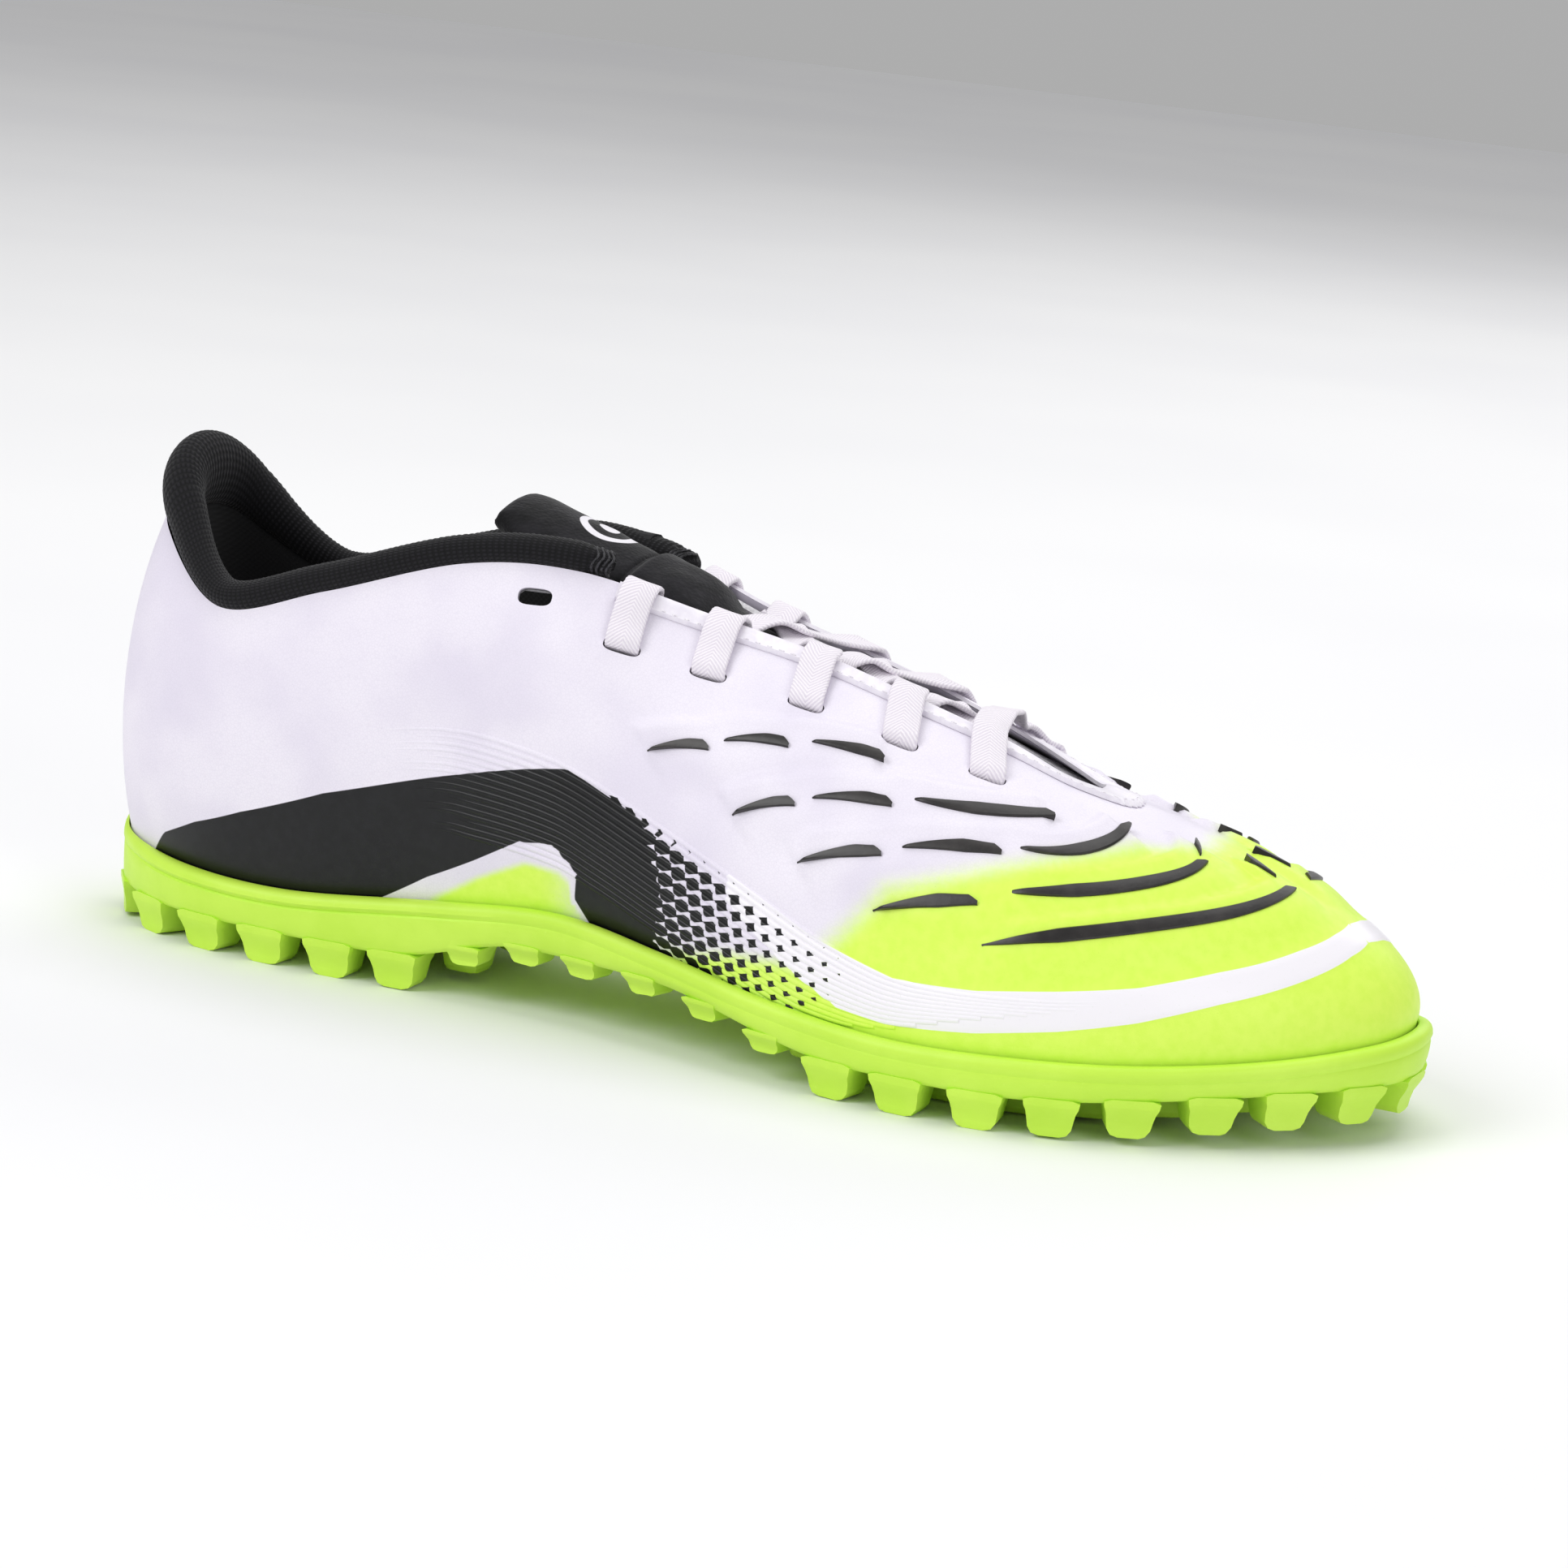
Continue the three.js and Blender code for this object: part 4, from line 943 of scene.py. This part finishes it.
def stud_template():
    """One turf stud, tip at height 0 and root at height 1, made once and copied."""
    deselect()
    bpy.ops.mesh.primitive_cube_add(size=2, location=(0, 0, 0))
    stud = bpy.context.object
    stud.name = "stud_template"
    bpy.ops.object.mode_set(mode="EDIT")
    bpy.ops.mesh.select_all(action="DESELECT")
    bpy.ops.object.mode_set(mode="OBJECT")
    for edge in stud.data.edges:
        ends = [stud.data.vertices[i].co for i in edge.vertices]
        edge.select = abs(ends[0].z - ends[1].z) > 1
    bpy.ops.object.mode_set(mode="EDIT")
    bpy.ops.mesh.bevel(offset=0.42, segments=2, profile=0.5)
    bpy.ops.mesh.select_all(action="SELECT")
    bpy.ops.object.mode_set(mode="OBJECT")
    mesh = bmesh.new()
    mesh.from_mesh(stud.data)
    for height in (-0.88, -0.55, -0.1, 0.3, 0.6, 0.82):
        bmesh.ops.bisect_plane(mesh, geom=mesh.verts[:] + mesh.edges[:] + mesh.faces[:],
                               plane_co=(0, 0, height), plane_no=(0, 0, 1))
    mesh.to_mesh(stud.data)
    mesh.free()
    points = np.array([vertex.co for vertex in stud.data.vertices])
    faces = [list(face.vertices) for face in stud.data.polygons]
    bpy.data.objects.remove(stud)
    return points, faces


TRAY_DEPTH, WALL_FOOT = 3.4, 1.3  # tray floor below the feather line; the wall's rounded foot


def level_ring(u, out, z):
    made = outline(u, out)
    made[:, 2] = z
    return made


def make_outsole():
    around = 520
    u = np.arange(around) * COUNT / around
    feather = outline(u, 0.0)
    base = sole_lift(feather[:, 0]) + STUD_HEIGHT
    top = feather[:, 2]
    heel = 1 - smooth(feather[:, 0], 70, 120)
    snug = wall_share(feather[:, 0])
    wall = np.maximum(top - TRAY_DEPTH - (base + WALL_FOOT), 0.3)
    lip = 0.45 * heel + 0.12
    rings = [level_ring(u, out * snug, base + rise)
             for out, rise in ((0.2, 0.0), (1.3, 0.12), (2.1, 0.55), (2.55, WALL_FOOT))]
    rings += [level_ring(u, out * snug, base + WALL_FOOT + wall * share)
              for share, out in ((0.35, 2.95), (0.7, 3.15), (1.0, 3.2))]
    rings += [level_ring(u, np.maximum((out + bulge * lip) * snug, 0.38), top - down)
              for out, down, bulge in ((3.1, 2.95, -0.5), (3.15, 2.55, 0.3), (3.3, 1.9, 1.0), (3.2, 1.1, 1.0),
                                       (2.95, 0.45, 0.8), (2.5, 0.0, 0.5), (1.9, -0.22, 0.2), (1.2, -0.25, 0),
                                       (0.6, -0.1, 0), (0.38, 0.25, 0))]
    rings.append(drop(foot(u, GAP), GAP))
    count = len(rings)
    points = np.concatenate(rings)
    faces = [list(face) for face in quads(count, around, False, True)]

    def underside(point, share):
        return np.array([point[0], point[1], float(sole_lift(point[0])) + STUD_HEIGHT])

    points, under = lid(points, 0, around, 14, underside)
    points, tray = lid(points, (count - 1) * around, around, 14, lambda point, share: point)
    sole = solid("outsole_mould", points, faces + under + tray)
    template, stud_faces = stud_template()
    chance = np.random.default_rng(5)
    parts = []
    for place in stud_places():
        scale = 0.75 if place["small"] else 1.0
        lift = float(sole_lift(place["at"][0]))
        tip = lift + STUD_HEIGHT * 0.5 if place["small"] else lift
        root = lift + STUD_HEIGHT + 1.0
        ahead = unit(outline(place["u"] + 0.05, 0.0)[:2] - outline(place["u"] - 0.05, 0.0)[:2])
        out = np.array([ahead[1], -ahead[0]])
        h = (template[:, 2] + 1) / 2
        size = (3.95 + 1.35 * h + 1.5 * np.clip(h - 0.62, 0, 1) ** 2 / 0.14) * scale
        size = size - 0.55 * np.clip(0.08 - h, 0, 1) / 0.08
        a, b = template[:, 0] * size, template[:, 1] * size
        flush = STUD_INSET + (0.5 + 2.1 * smooth(h, 0.25, 0.9)) * wall_share(place["at"][0])
        b = np.where((template[:, 1] > 0.5) & place["outer"], flush, b)
        ragged = chance.normal(0, 0.09, len(h)) * (h < 0.03)
        z = tip + (root - tip) * h + np.abs(ragged)
        a = a + chance.normal(0, 0.07, len(h)) * (h < 0.2)
        plan = place["at"] + np.outer(a, ahead) + np.outer(b, out)
        parts.append((np.column_stack([plan, z]), stud_faces))
    for some in (parts[::2], parts[1::2]):
        cut(sole, solid("studs", *join(some)), "UNION")
    dress(sole, rubber_finish, "shoe", ["outsole"], 32)


# ---------------------------------------------------------------- collar
def roll_section(u, angles, grow):
    top = upper(u, 1.0)
    along = unit(upper(u + 0.03, 1.0) - upper(u - 0.03, 1.0))
    outward_way = upper_normal(u, np.full_like(u, 0.97))
    outward_way[:, 2] = 0
    outward_way = unit(outward_way)
    rise = unit(np.cross(outward_way, along))
    rise = np.where(rise[:, 2:] < 0, -rise, rise)
    heel = np.where(np.abs(u) < 2, np.cos(np.pi * u / 4) ** 2, 0)
    half = ROLL_HALF_HEIGHT + (HEEL_HALF_HEIGHT - ROLL_HALF_HEIGHT) * heel
    wide = ROLL_HALF_WIDTH + (HEEL_HALF_WIDTH - ROLL_HALF_WIDTH) * heel
    middle = top + rise * (half + GAP)[:, None] + outward_way * (1.4 - wide)[:, None]
    middle[:, 2] -= 1.8 * smooth(-u, 3.9, 5.0)
    seated = np.where(np.sin(angles) < 0, 1.1, 0.0)
    return (middle[:, None] + outward_way[:, None] * ((wide[:, None] + grow) * np.cos(angles))[..., None]
            + rise[:, None] * ((half[:, None] + grow + seated) * np.sin(angles))[..., None])


def make_collar():
    fine = np.linspace(-COLLAR_END, COLLAR_END, 3000)
    length = arc_length(upper(fine, 1.0))
    steps = int(length[-1] / 0.30)
    along = np.linspace(0, length[-1], steps)
    u = np.interp(along, length, fine)
    columns = 30
    angles = np.linspace(-np.pi / 2, 1.5 * np.pi, columns + 1)[:-1]
    pitch = 1.25
    wave = 0.5 + 0.5 * np.cos(2 * np.pi * along / pitch)
    ends = np.minimum(along, length[-1] - along)
    bunch = 1 - smooth(ends, 2.5, 8)
    chance = np.random.default_rng(11)
    wobble = chance.normal(0, 1, (steps, columns))
    wobble = np.apply_along_axis(lambda row: np.convolve(row, hann(9), "same"), 0, wobble)
    grow = ((0.15 * wave - 0.14) * (1 - 0.4 * bunch))[:, None] + wobble * (0.03 + 0.34 * bunch[:, None])
    grow = grow - (0.7 * bunch + 1.5 * (1 - smooth(ends, 0, 1.4)))[:, None]
    collar = bare("collar_roll", *tube(roll_section(u, angles, grow)))
    dress(collar, knit_finish, "shoe", ["collar_cover"], 70)
    across = np.linspace(0, 24, columns)
    put_uv(collar, "cloth", np.stack([np.repeat(along / pitch, columns), np.tile(across / 0.9, steps)], -1))
    rings = []
    for end in (-1, 1):
        for back in (1.1, 2.0, 3.0, 4.1):
            where = back if end < 0 else length[-1] - back
            spot = np.interp(where, length, fine)
            round_angles = np.linspace(0, 2 * np.pi, 41)[:-1]
            loop = roll_section(np.full(1, spot), round_angles, np.full((1, 1), -0.62 - 0.1 * back % 0.3))[0]
            forward = unit(upper(spot + 0.02, 1.0) - upper(spot - 0.02, 1.0))
            loop = loop + forward * (0.45 * np.sin(3 * round_angles))[:, None]
            centre = loop.mean(0)
            outwards = unit(loop - centre)
            section = [loop + outwards * (0.3 * np.cos(a)) + forward * (0.3 * np.sin(a))
                       for a in np.linspace(0, 2 * np.pi, 7)[:-1]]
            grid = np.stack(section, 1)
            rings.append((grid.reshape(-1, 3), [list(f) for f in quads(40, 6, True, True)]))
    knots = solid("collar_end_stitches", *join(rings))
    dress(knots, dark_thread_finish, "shoe", (), 60)


# ---------------------------------------------------------------- tongue
def tongue_half(row):
    body = TONGUE_HALF_WIDTH + (TAB_HALF_WIDTH - TONGUE_HALF_WIDTH) * smooth(row, 4, 6)
    seam_end = 9 + (body - 9) * smooth(row, -0.5, 3)
    return seam_end * (1 - 0.32 * smooth(row, TONGUE_LAST - 1.4, TONGUE_LAST) ** 2)


def make_tongue():
    rows, columns = 190, 56
    row = np.linspace(0, TONGUE_LAST, rows)
    side = np.linspace(-1, 1, columns)
    rr, ss = np.meshgrid(row, side, indexing="ij")
    across = ss * tongue_half(rr)
    edge = np.clip(1 - np.abs(ss), 0, 1) * tongue_half(rr)
    to_tip = (TONGUE_LAST - rr) * 11
    border = np.minimum(edge, to_tip)
    chance = np.random.default_rng(3)
    dents = chance.normal(0, 1, (rows // 5, columns // 4))
    dents = np.kron(dents, np.ones((5, 4)))[:rows, :columns]
    for axis in (0, 1):
        dents = np.apply_along_axis(evened, axis, dents, 13)
    crown = 0.55 * smooth(border, 0, 5) + 0.18 * dents * smooth(border, 0, 6)
    swell = 1.5 * smooth(rr, 5.9, 6.6) * (1 - smooth(rr, 8.12, 8.3)) * smooth(border, 0, 6)
    seam = -0.5 * np.exp(-((rr - 8.36) / 0.05) ** 2)
    rounding = 2.4 * (1 - np.sqrt(1 - (1 - np.clip(border / 2.4, 0, 1)) ** 2))
    outer = on_tongue(rr, across, crown + swell + seam - rounding)
    inner = on_tongue(rr, across, -5.9 + rounding - 0.25 * smooth(border, 0, 5) * (rr > 8))
    points, faces = slab(outer, inner)
    made = solid("tongue_pad", points, faces)
    length = arc_length(tongue_crest(row))
    badge = np.interp(9.55, row, length)
    ahead = np.broadcast_to((length - badge)[:, None], across.shape)
    far = np.stack([ahead, across - 1.0], -1).reshape(-1, 2)
    hidden = far + 60
    put_uv(made, "cloth", np.concatenate([far, hidden])[nearest_to(made, points)[0]])
    nodes = [f"tongue_{part}" for part in ("cover", "foam", "lining")]
    nodes += [f"tongue_tab_{part}" for part in ("cover", "foam", "lining")]
    dress(made, tongue_finish, None, nodes, 50)
    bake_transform(made)


# ---------------------------------------------------------------- lace
LACE_UNDER = -(BACK_DEPTH + BACKING + GAP + LACE_THICK / 2)
LACE_OVER = 0.45 + LACE_THICK / 2
LACE_TRIM = GAP + 0.6 + 0.9 + LACE_THICK / 2
LACE_TAIL = -(LINE_DEPTH + LINING + 1.6 + LACE_THICK / 2)
TONGUE_HALF_WIDTH, TAB_HALF_WIDTH = 18.5, 16.5
TONGUE_SPOTS = np.meshgrid(np.linspace(0, TONGUE_LAST, 111),
                           np.linspace(-TONGUE_HALF_WIDTH, TONGUE_HALF_WIDTH, 39), indexing="ij")
GRID = tongue(*TONGUE_SPOTS).reshape(-1, 3)


def medial(u):
    return COUNT - u


def lace_on(u, v, out, inward=0.0):
    along = unit(upper(u + 0.05, v) - upper(u - 0.05, v))
    if along[0] < 0:
        along = -along
    point = on_upper(u, v, out)
    middle = 0.5 * (upper(u, 1.0)[1] + upper(medial(u), 1.0)[1])
    if inward:
        point = point + np.array([0, np.sign(middle - point[1]) * inward, 0])
    return point, along


def tongue_height(x, y):
    return GRID[np.argmin(np.hypot(GRID[:, 0] - x, GRID[:, 1] - y)), 2]


def crossing(first, second, lift):
    run = second[0] - first[0]
    wide = unit(np.array([run[1], -run[0], 0.0]))
    if wide[0] < 0:
        wide = -wide
    made = []
    for t in (0.3, 0.5, 0.7):
        point = first[0] + run * t
        edges = [point + wide * side * LACE_WIDTH / 2 for side in (-1, 0, 1)]
        rest = max(tongue_height(x, y) for x, y, _ in edges) + LACE_CLEAR + LACE_THICK / 2
        point[2] = max(point[2] - 1.2, rest) + lift
        made.append((point, wide))
    return made


def out_of_slot(u):
    return [lace_on(u, SLOT_V, LACE_UNDER + 0.5), lace_on(u, SLOT_V - 0.002, -BACK_DEPTH),
            lace_on(u, SLOT_V, -0.2), lace_on(u, SLOT_V + 0.014, LACE_OVER)]


def over_edge(u):
    return [lace_on(u, 0.88, LACE_OVER + 0.25), lace_on(u, 0.965, LACE_TRIM), lace_on(u, 1, LACE_TRIM, 1.2)]


def under_edge(u):
    return [lace_on(u, 1, LACE_UNDER - 0.4, 2.5), lace_on(u, 0.93, LACE_UNDER - 0.4),
            lace_on(u, 0.84, LACE_UNDER - 0.4), lace_on(u, 0.815, LACE_UNDER - 0.2)]


def round_edge(u, following):
    step = following - u
    return [lace_on(u, 1, -SHELL, 3.8), lace_on(u + step * 0.25, 0.97, LACE_UNDER - 0.9),
            lace_on(u + step * 0.75, 0.88, LACE_UNDER - 0.4), lace_on(following, 0.83, LACE_UNDER - 0.4)]


def lace_half(lateral, raised):
    def place(index, flipped):
        return EYELETS[index] if lateral != flipped else medial(EYELETS[index])

    frames = over_edge(place(0, False))[::-1] + out_of_slot(place(0, False))[::-1]
    flipped = False
    for index in range(3):
        leave = under_edge(place(0, flipped))[::-1] if index == 0 else over_edge(place(index, flipped))
        arrive = under_edge(place(index + 1, not flipped))
        lift = raised if index % 2 == 0 else LACE_CROSS - raised
        frames += leave + crossing(leave[-1], arrive[0], lift) + arrive
        flipped = not flipped
        frames += out_of_slot(place(index + 1, flipped))
    fourth, fifth = place(3, flipped), place(4, flipped)
    frames += over_edge(fourth) + round_edge(fourth, fifth) + out_of_slot(fifth) + over_edge(fifth)
    way = -1 if fifth < COUNT / 2 else 1
    frames += [lace_on(fifth, 1, -SHELL, 3.4), lace_on(fifth + way * 0.15, 0.9, LACE_TAIL)]
    frames += [lace_on(fifth + way * step, v, LACE_TAIL)
               for step, v in ((0.5, 0.72), (1.0, 0.58), (1.6, 0.53), (2.3, 0.52))]
    return frames


def centripetal(points, per_mm):
    """Points along a centripetal Catmull-Rom curve, with the place of each among the given points."""
    padded = np.vstack([2 * points[0] - points[1], points, 2 * points[-1] - points[-2]])
    made, where = [], []
    for i in range(1, len(padded) - 2):
        level = list(padded[i - 1:i + 3])
        gaps = np.maximum(np.sqrt(np.linalg.norm(np.diff(level, axis=0), axis=1)), 1e-4)
        k = np.concatenate([[0], np.cumsum(gaps)])
        count = max(2, int(math.ceil(np.linalg.norm(level[2] - level[1]) * per_mm)))
        t = np.linspace(k[1], k[2], count, endpoint=False)[:, None]
        for starts in (((0, 1), (1, 2), (2, 3)), ((0, 2), (1, 3)), ((1, 2),)):
            level = [(k[b] - t) / (k[b] - k[a]) * level[j] + (t - k[a]) / (k[b] - k[a]) * level[j + 1]
                     for j, (a, b) in enumerate(starts)]
        made.append(level[0])
        where.append(i - 1 + np.linspace(0, 1, count, endpoint=False))
    made.append(points[-1:])
    where.append(np.array([len(points) - 1.0]))
    return np.vstack(made), np.concatenate(where)


def make_lace():
    first, second = lace_half(True, 0.0), lace_half(False, LACE_CROSS)
    frames = first[::-1] + crossing(first[0], second[0], BAR_RISE) + second
    points = np.array([frame[0] for frame in frames])
    wides = np.array([frame[1] for frame in frames])
    line, where = centripetal(points, 1.6)
    keep = np.concatenate([[True], np.linalg.norm(np.diff(line, axis=0), axis=1) > 0.12])
    line, where = line[keep], where[keep]
    index = np.minimum(where.astype(int), len(wides) - 2)
    wide = wides[index] + (wides[index + 1] - wides[index]) * (where - index)[:, None]
    along = unit(np.gradient(line, axis=0))
    wide = unit(wide - along * (wide * along).sum(-1, keepdims=True))
    for _ in range(6):
        wide[1:-1] = unit(wide[:-2] + 2 * wide[1:-1] + wide[2:])
        wide = unit(wide - along * (wide * along).sum(-1, keepdims=True))
    thick = np.cross(along, wide)
    profile = [(1.0, 0), (0.965, 0.62), (0.85, 0.98), (0.5, 0.92), (0, 0.86), (-0.5, 0.92), (-0.85, 0.98),
               (-0.965, 0.62), (-1.0, 0), (-0.965, -0.62), (-0.85, -0.98), (0, -0.86), (0.85, -0.98),
               (0.965, -0.62)]
    length = arc_length(line)
    edge_wave = 1 + 0.018 * np.sin(2 * np.pi * length / 1.05)
    section = [line + wide * (a * LACE_WIDTH / 2 * edge_wave)[:, None] + thick * (b * LACE_THICK / 2)
               for a, b in profile]
    lace = dress(bare("flat_lace", *tube(np.stack(section, 1))), lace_finish, "shoe", ["lace"], 50)
    across = np.array([a * 3.6 for a, b in profile])
    put_uv(lace, "cloth", np.stack([np.repeat(length, len(profile)), np.tile(across, len(line))], -1))
    return length[-1]


# ---------------------------------------------------------------- eyestay trim and its stitching
def trim_width(u):
    """How far down from the edge the trim reaches, in v; pinked round the toe end of the throat."""
    return 0.0625 + 0.012 * (1 - smooth(np.abs(u - COUNT / 2), 1.2, 2.2))


def make_trim():
    steps = 760
    u = np.linspace(TRIM_END, medial(TRIM_END), steps)
    length = arc_length(upper(u, 0.94))
    pinked = 1 - smooth(np.abs(u - COUNT / 2), 1.0, 1.5)
    tooth = 2 * np.abs(np.mod(length / 1.7, 1) - 0.5)
    width = trim_width(u) + 0.006 * pinked * tooth
    share = np.linspace(0, 1, 9)
    v = 1 - width[:, None] * (1 - share)
    lift = 0.35 + 0.72 * np.sqrt(np.clip(1 - (2 * np.clip(0.14 - share, 0, 1) / 0.28) ** 2, 0, 1))
    lift = lift - 0.25 * smooth(share, 0.93, 1.0)
    uu = np.broadcast_to(u[:, None], v.shape)
    top = on_upper(uu, v, np.broadcast_to(lift, v.shape))
    under = on_upper(uu, v, np.full(v.shape, 0.12))
    dress(solid("throat_trim", *slab(top, under)), film_finish, "shoe", ["eyestay_trim"], 45)
    seam_u = np.linspace(TRIM_END + 0.04, medial(TRIM_END) - 0.04, 4000)
    seam_v = 1 - trim_width(seam_u) + 0.012
    track = on_upper(seam_u, seam_v, np.full_like(seam_u, 1.02))
    parts = stitches(track, upper_normal(seam_u, seam_v), 2.55, 1.75, 0.26)
    dress(bare("throat_stitches", *join(parts)), thread_finish, "shoe", (), 60)


def stitches(track, normals, pitch, long, thick):
    """A row of thread stitches along a track."""
    run = arc_length(track)
    deselect()
    bpy.ops.mesh.primitive_uv_sphere_add(segments=8, ring_count=6, radius=1)
    bead = bpy.context.object
    template = np.array([vertex.co for vertex in bead.data.vertices])
    bead_faces = [list(face.vertices) for face in bead.data.polygons]
    bpy.data.objects.remove(bead)
    parts = []
    for where in np.arange(pitch / 2, run[-1], pitch):
        index = int(np.clip(np.searchsorted(run, where), 1, len(run) - 2))
        ahead = unit(track[index + 1] - track[index - 1])
        normal = unit(normals[index] - ahead * (normals[index] @ ahead))
        side = np.cross(ahead, normal)
        squashed = np.sign(template[:, 2]) * np.abs(template[:, 2]) ** 0.8
        dip = -0.22 * squashed ** 2
        spots = track[index] + np.outer(squashed * long / 2, ahead) + np.outer(template[:, 0] * thick, side)
        parts.append((spots + np.outer(template[:, 1] * thick + dip, normal), bead_faces))
    return parts


# ---------------------------------------------------------------- linings, sockliner
def make_lining(name, node, start, stop, low, high):
    steps = int((stop - start) * 14)
    u = np.linspace(start, stop, steps)
    v = np.linspace(low, high, 34)
    uu, vv = np.meshgrid(u, v, indexing="ij")
    tuck = 1.5 * smooth(vv, 0.97, 1.0)
    outer = drop(on_upper(uu, vv, -LINE_DEPTH), -tuck)
    inner = drop(on_upper(uu, vv, -LINE_DEPTH - LINING), -tuck)
    dress(solid(name, *slab(outer, inner)), lining_finish, "shoe", [node], 50)


def make_sockliner():
    around = 240
    u = np.arange(around) * COUNT / around
    inset = LINE_DEPTH + LINING + 1.6
    profile = [(0.7, 1.6), (0.15, 1.9), (0.0, 2.6), (0.0, 3.7), (0.35, 4.4), (1.4, 4.75), (4.0, 4.5)]
    rings = [drop(foot(u, -inset - more), -rise) for more, rise in profile]
    points = np.concatenate(rings)
    faces = [list(face) for face in quads(len(rings), around, False, True)]
    points, under = lid(points, 0, around, 20, lambda point, share: point)
    points, dished = lid(points, (len(rings) - 1) * around, around, 20,
                         lambda point, share: drop(point, 0.5 * math.sin(math.pi * share)))
    made = solid("insole", points, faces + under + dished)
    dress(made, sock_finish, "sockliner", ["sockliner"], 60)


sock_finish = plain_stuff("insole_cloth", srgb(38, 38, 42), srgb(58, 58, 63), 900, 0.95)
foam_finish = plain_stuff("open_foam", srgb(150, 152, 158), srgb(178, 180, 186), 600, 0.95)
dark_foam_finish = plain_stuff("black_foam", srgb(20, 20, 22), srgb(34, 34, 37), 600, 0.95)
board_finish = plain_stuff("fibre_board", srgb(203, 192, 168), srgb(224, 214, 192), 500, 0.9)
stiff_finish = plain_stuff("stiffener_sheet", srgb(190, 183, 170), srgb(211, 204, 192), 700, 0.8)
tape_finish = plain_stuff("eyelet_tape_cloth", srgb(214, 212, 216), srgb(238, 236, 240), 1100, 0.9)
tip_finish = plain_stuff("aglet_film", srgb(226, 223, 228), srgb(245, 243, 247), 1500, 0.35, 0.1)

make_skin()
make_ribs()
make_fins()
make_outsole()
make_collar()
make_tongue()
lace_length = make_lace()
make_trim()
make_lining("heel_lining_cloth", "lining_heel", -4.0, 4.0, 0.1, 1.0)
make_lining("vamp_lining_cloth", "lining_vamp", 4.5, COUNT - 4.5, 0.1, 0.6)
make_sockliner()

inner_finishes = {
    "lasting_board": board_finish, "heel_counter": stiff_finish, "toe_puff": stiff_finish,
    "quarter_foam_lateral": foam_finish, "quarter_foam_medial": foam_finish,
    "collar_padding": dark_foam_finish, "collar_foam": dark_foam_finish,
    "eyelet_tape_lateral": tape_finish, "eyelet_tape_medial": tape_finish,
    "aglet_lateral": tip_finish, "aglet_medial": tip_finish,
}
for name, finish in inner_finishes.items():
    data = frame["nodes"][name].data
    data.materials.clear()
    data.materials.append(finish)

# ---------------------------------------------------------------- studio
deselect()
bpy.ops.mesh.primitive_plane_add(size=6)
paper = bpy.context.object
paper.name = "studio_floor"
paper.data.materials.append(floor_paper())


def area_light(name, place, target, size, power):
    data = bpy.data.lights.new(name, "AREA")
    data.shape = "RECTANGLE"
    data.size, data.size_y = size
    data.energy = power
    holder = bpy.data.objects.new(name, data)
    bpy.context.scene.collection.objects.link(holder)
    holder.location = place
    holder.rotation_euler = (Vector(target) - Vector(place)).to_track_quat("-Z", "Y").to_euler()


area_light("key", (-0.9, -1.5, 1.5), (0, 0, 0.04), (1.2, 1.2), 20)
area_light("fill", (1.6, -0.9, 0.8), (0, 0, 0.04), (1.0, 1.0), 6.5)
area_light("top", (0, 0.3, 1.8), (0, 0, 0.04), (1.4, 1.4), 13)
area_light("rim", (0.2, 1.6, 1.0), (0, 0, 0.05), (1.2, 0.8), 6)
world = bpy.data.worlds.new("studio")
bpy.context.scene.world = world
world.use_nodes = True
world.node_tree.nodes["Background"].inputs["Color"].default_value = (1, 1, 1, 1)
world.node_tree.nodes["Background"].inputs["Strength"].default_value = 0.42
bpy.context.scene.view_settings.view_transform = "Standard"

print("lace length, mm:", round(lace_length))
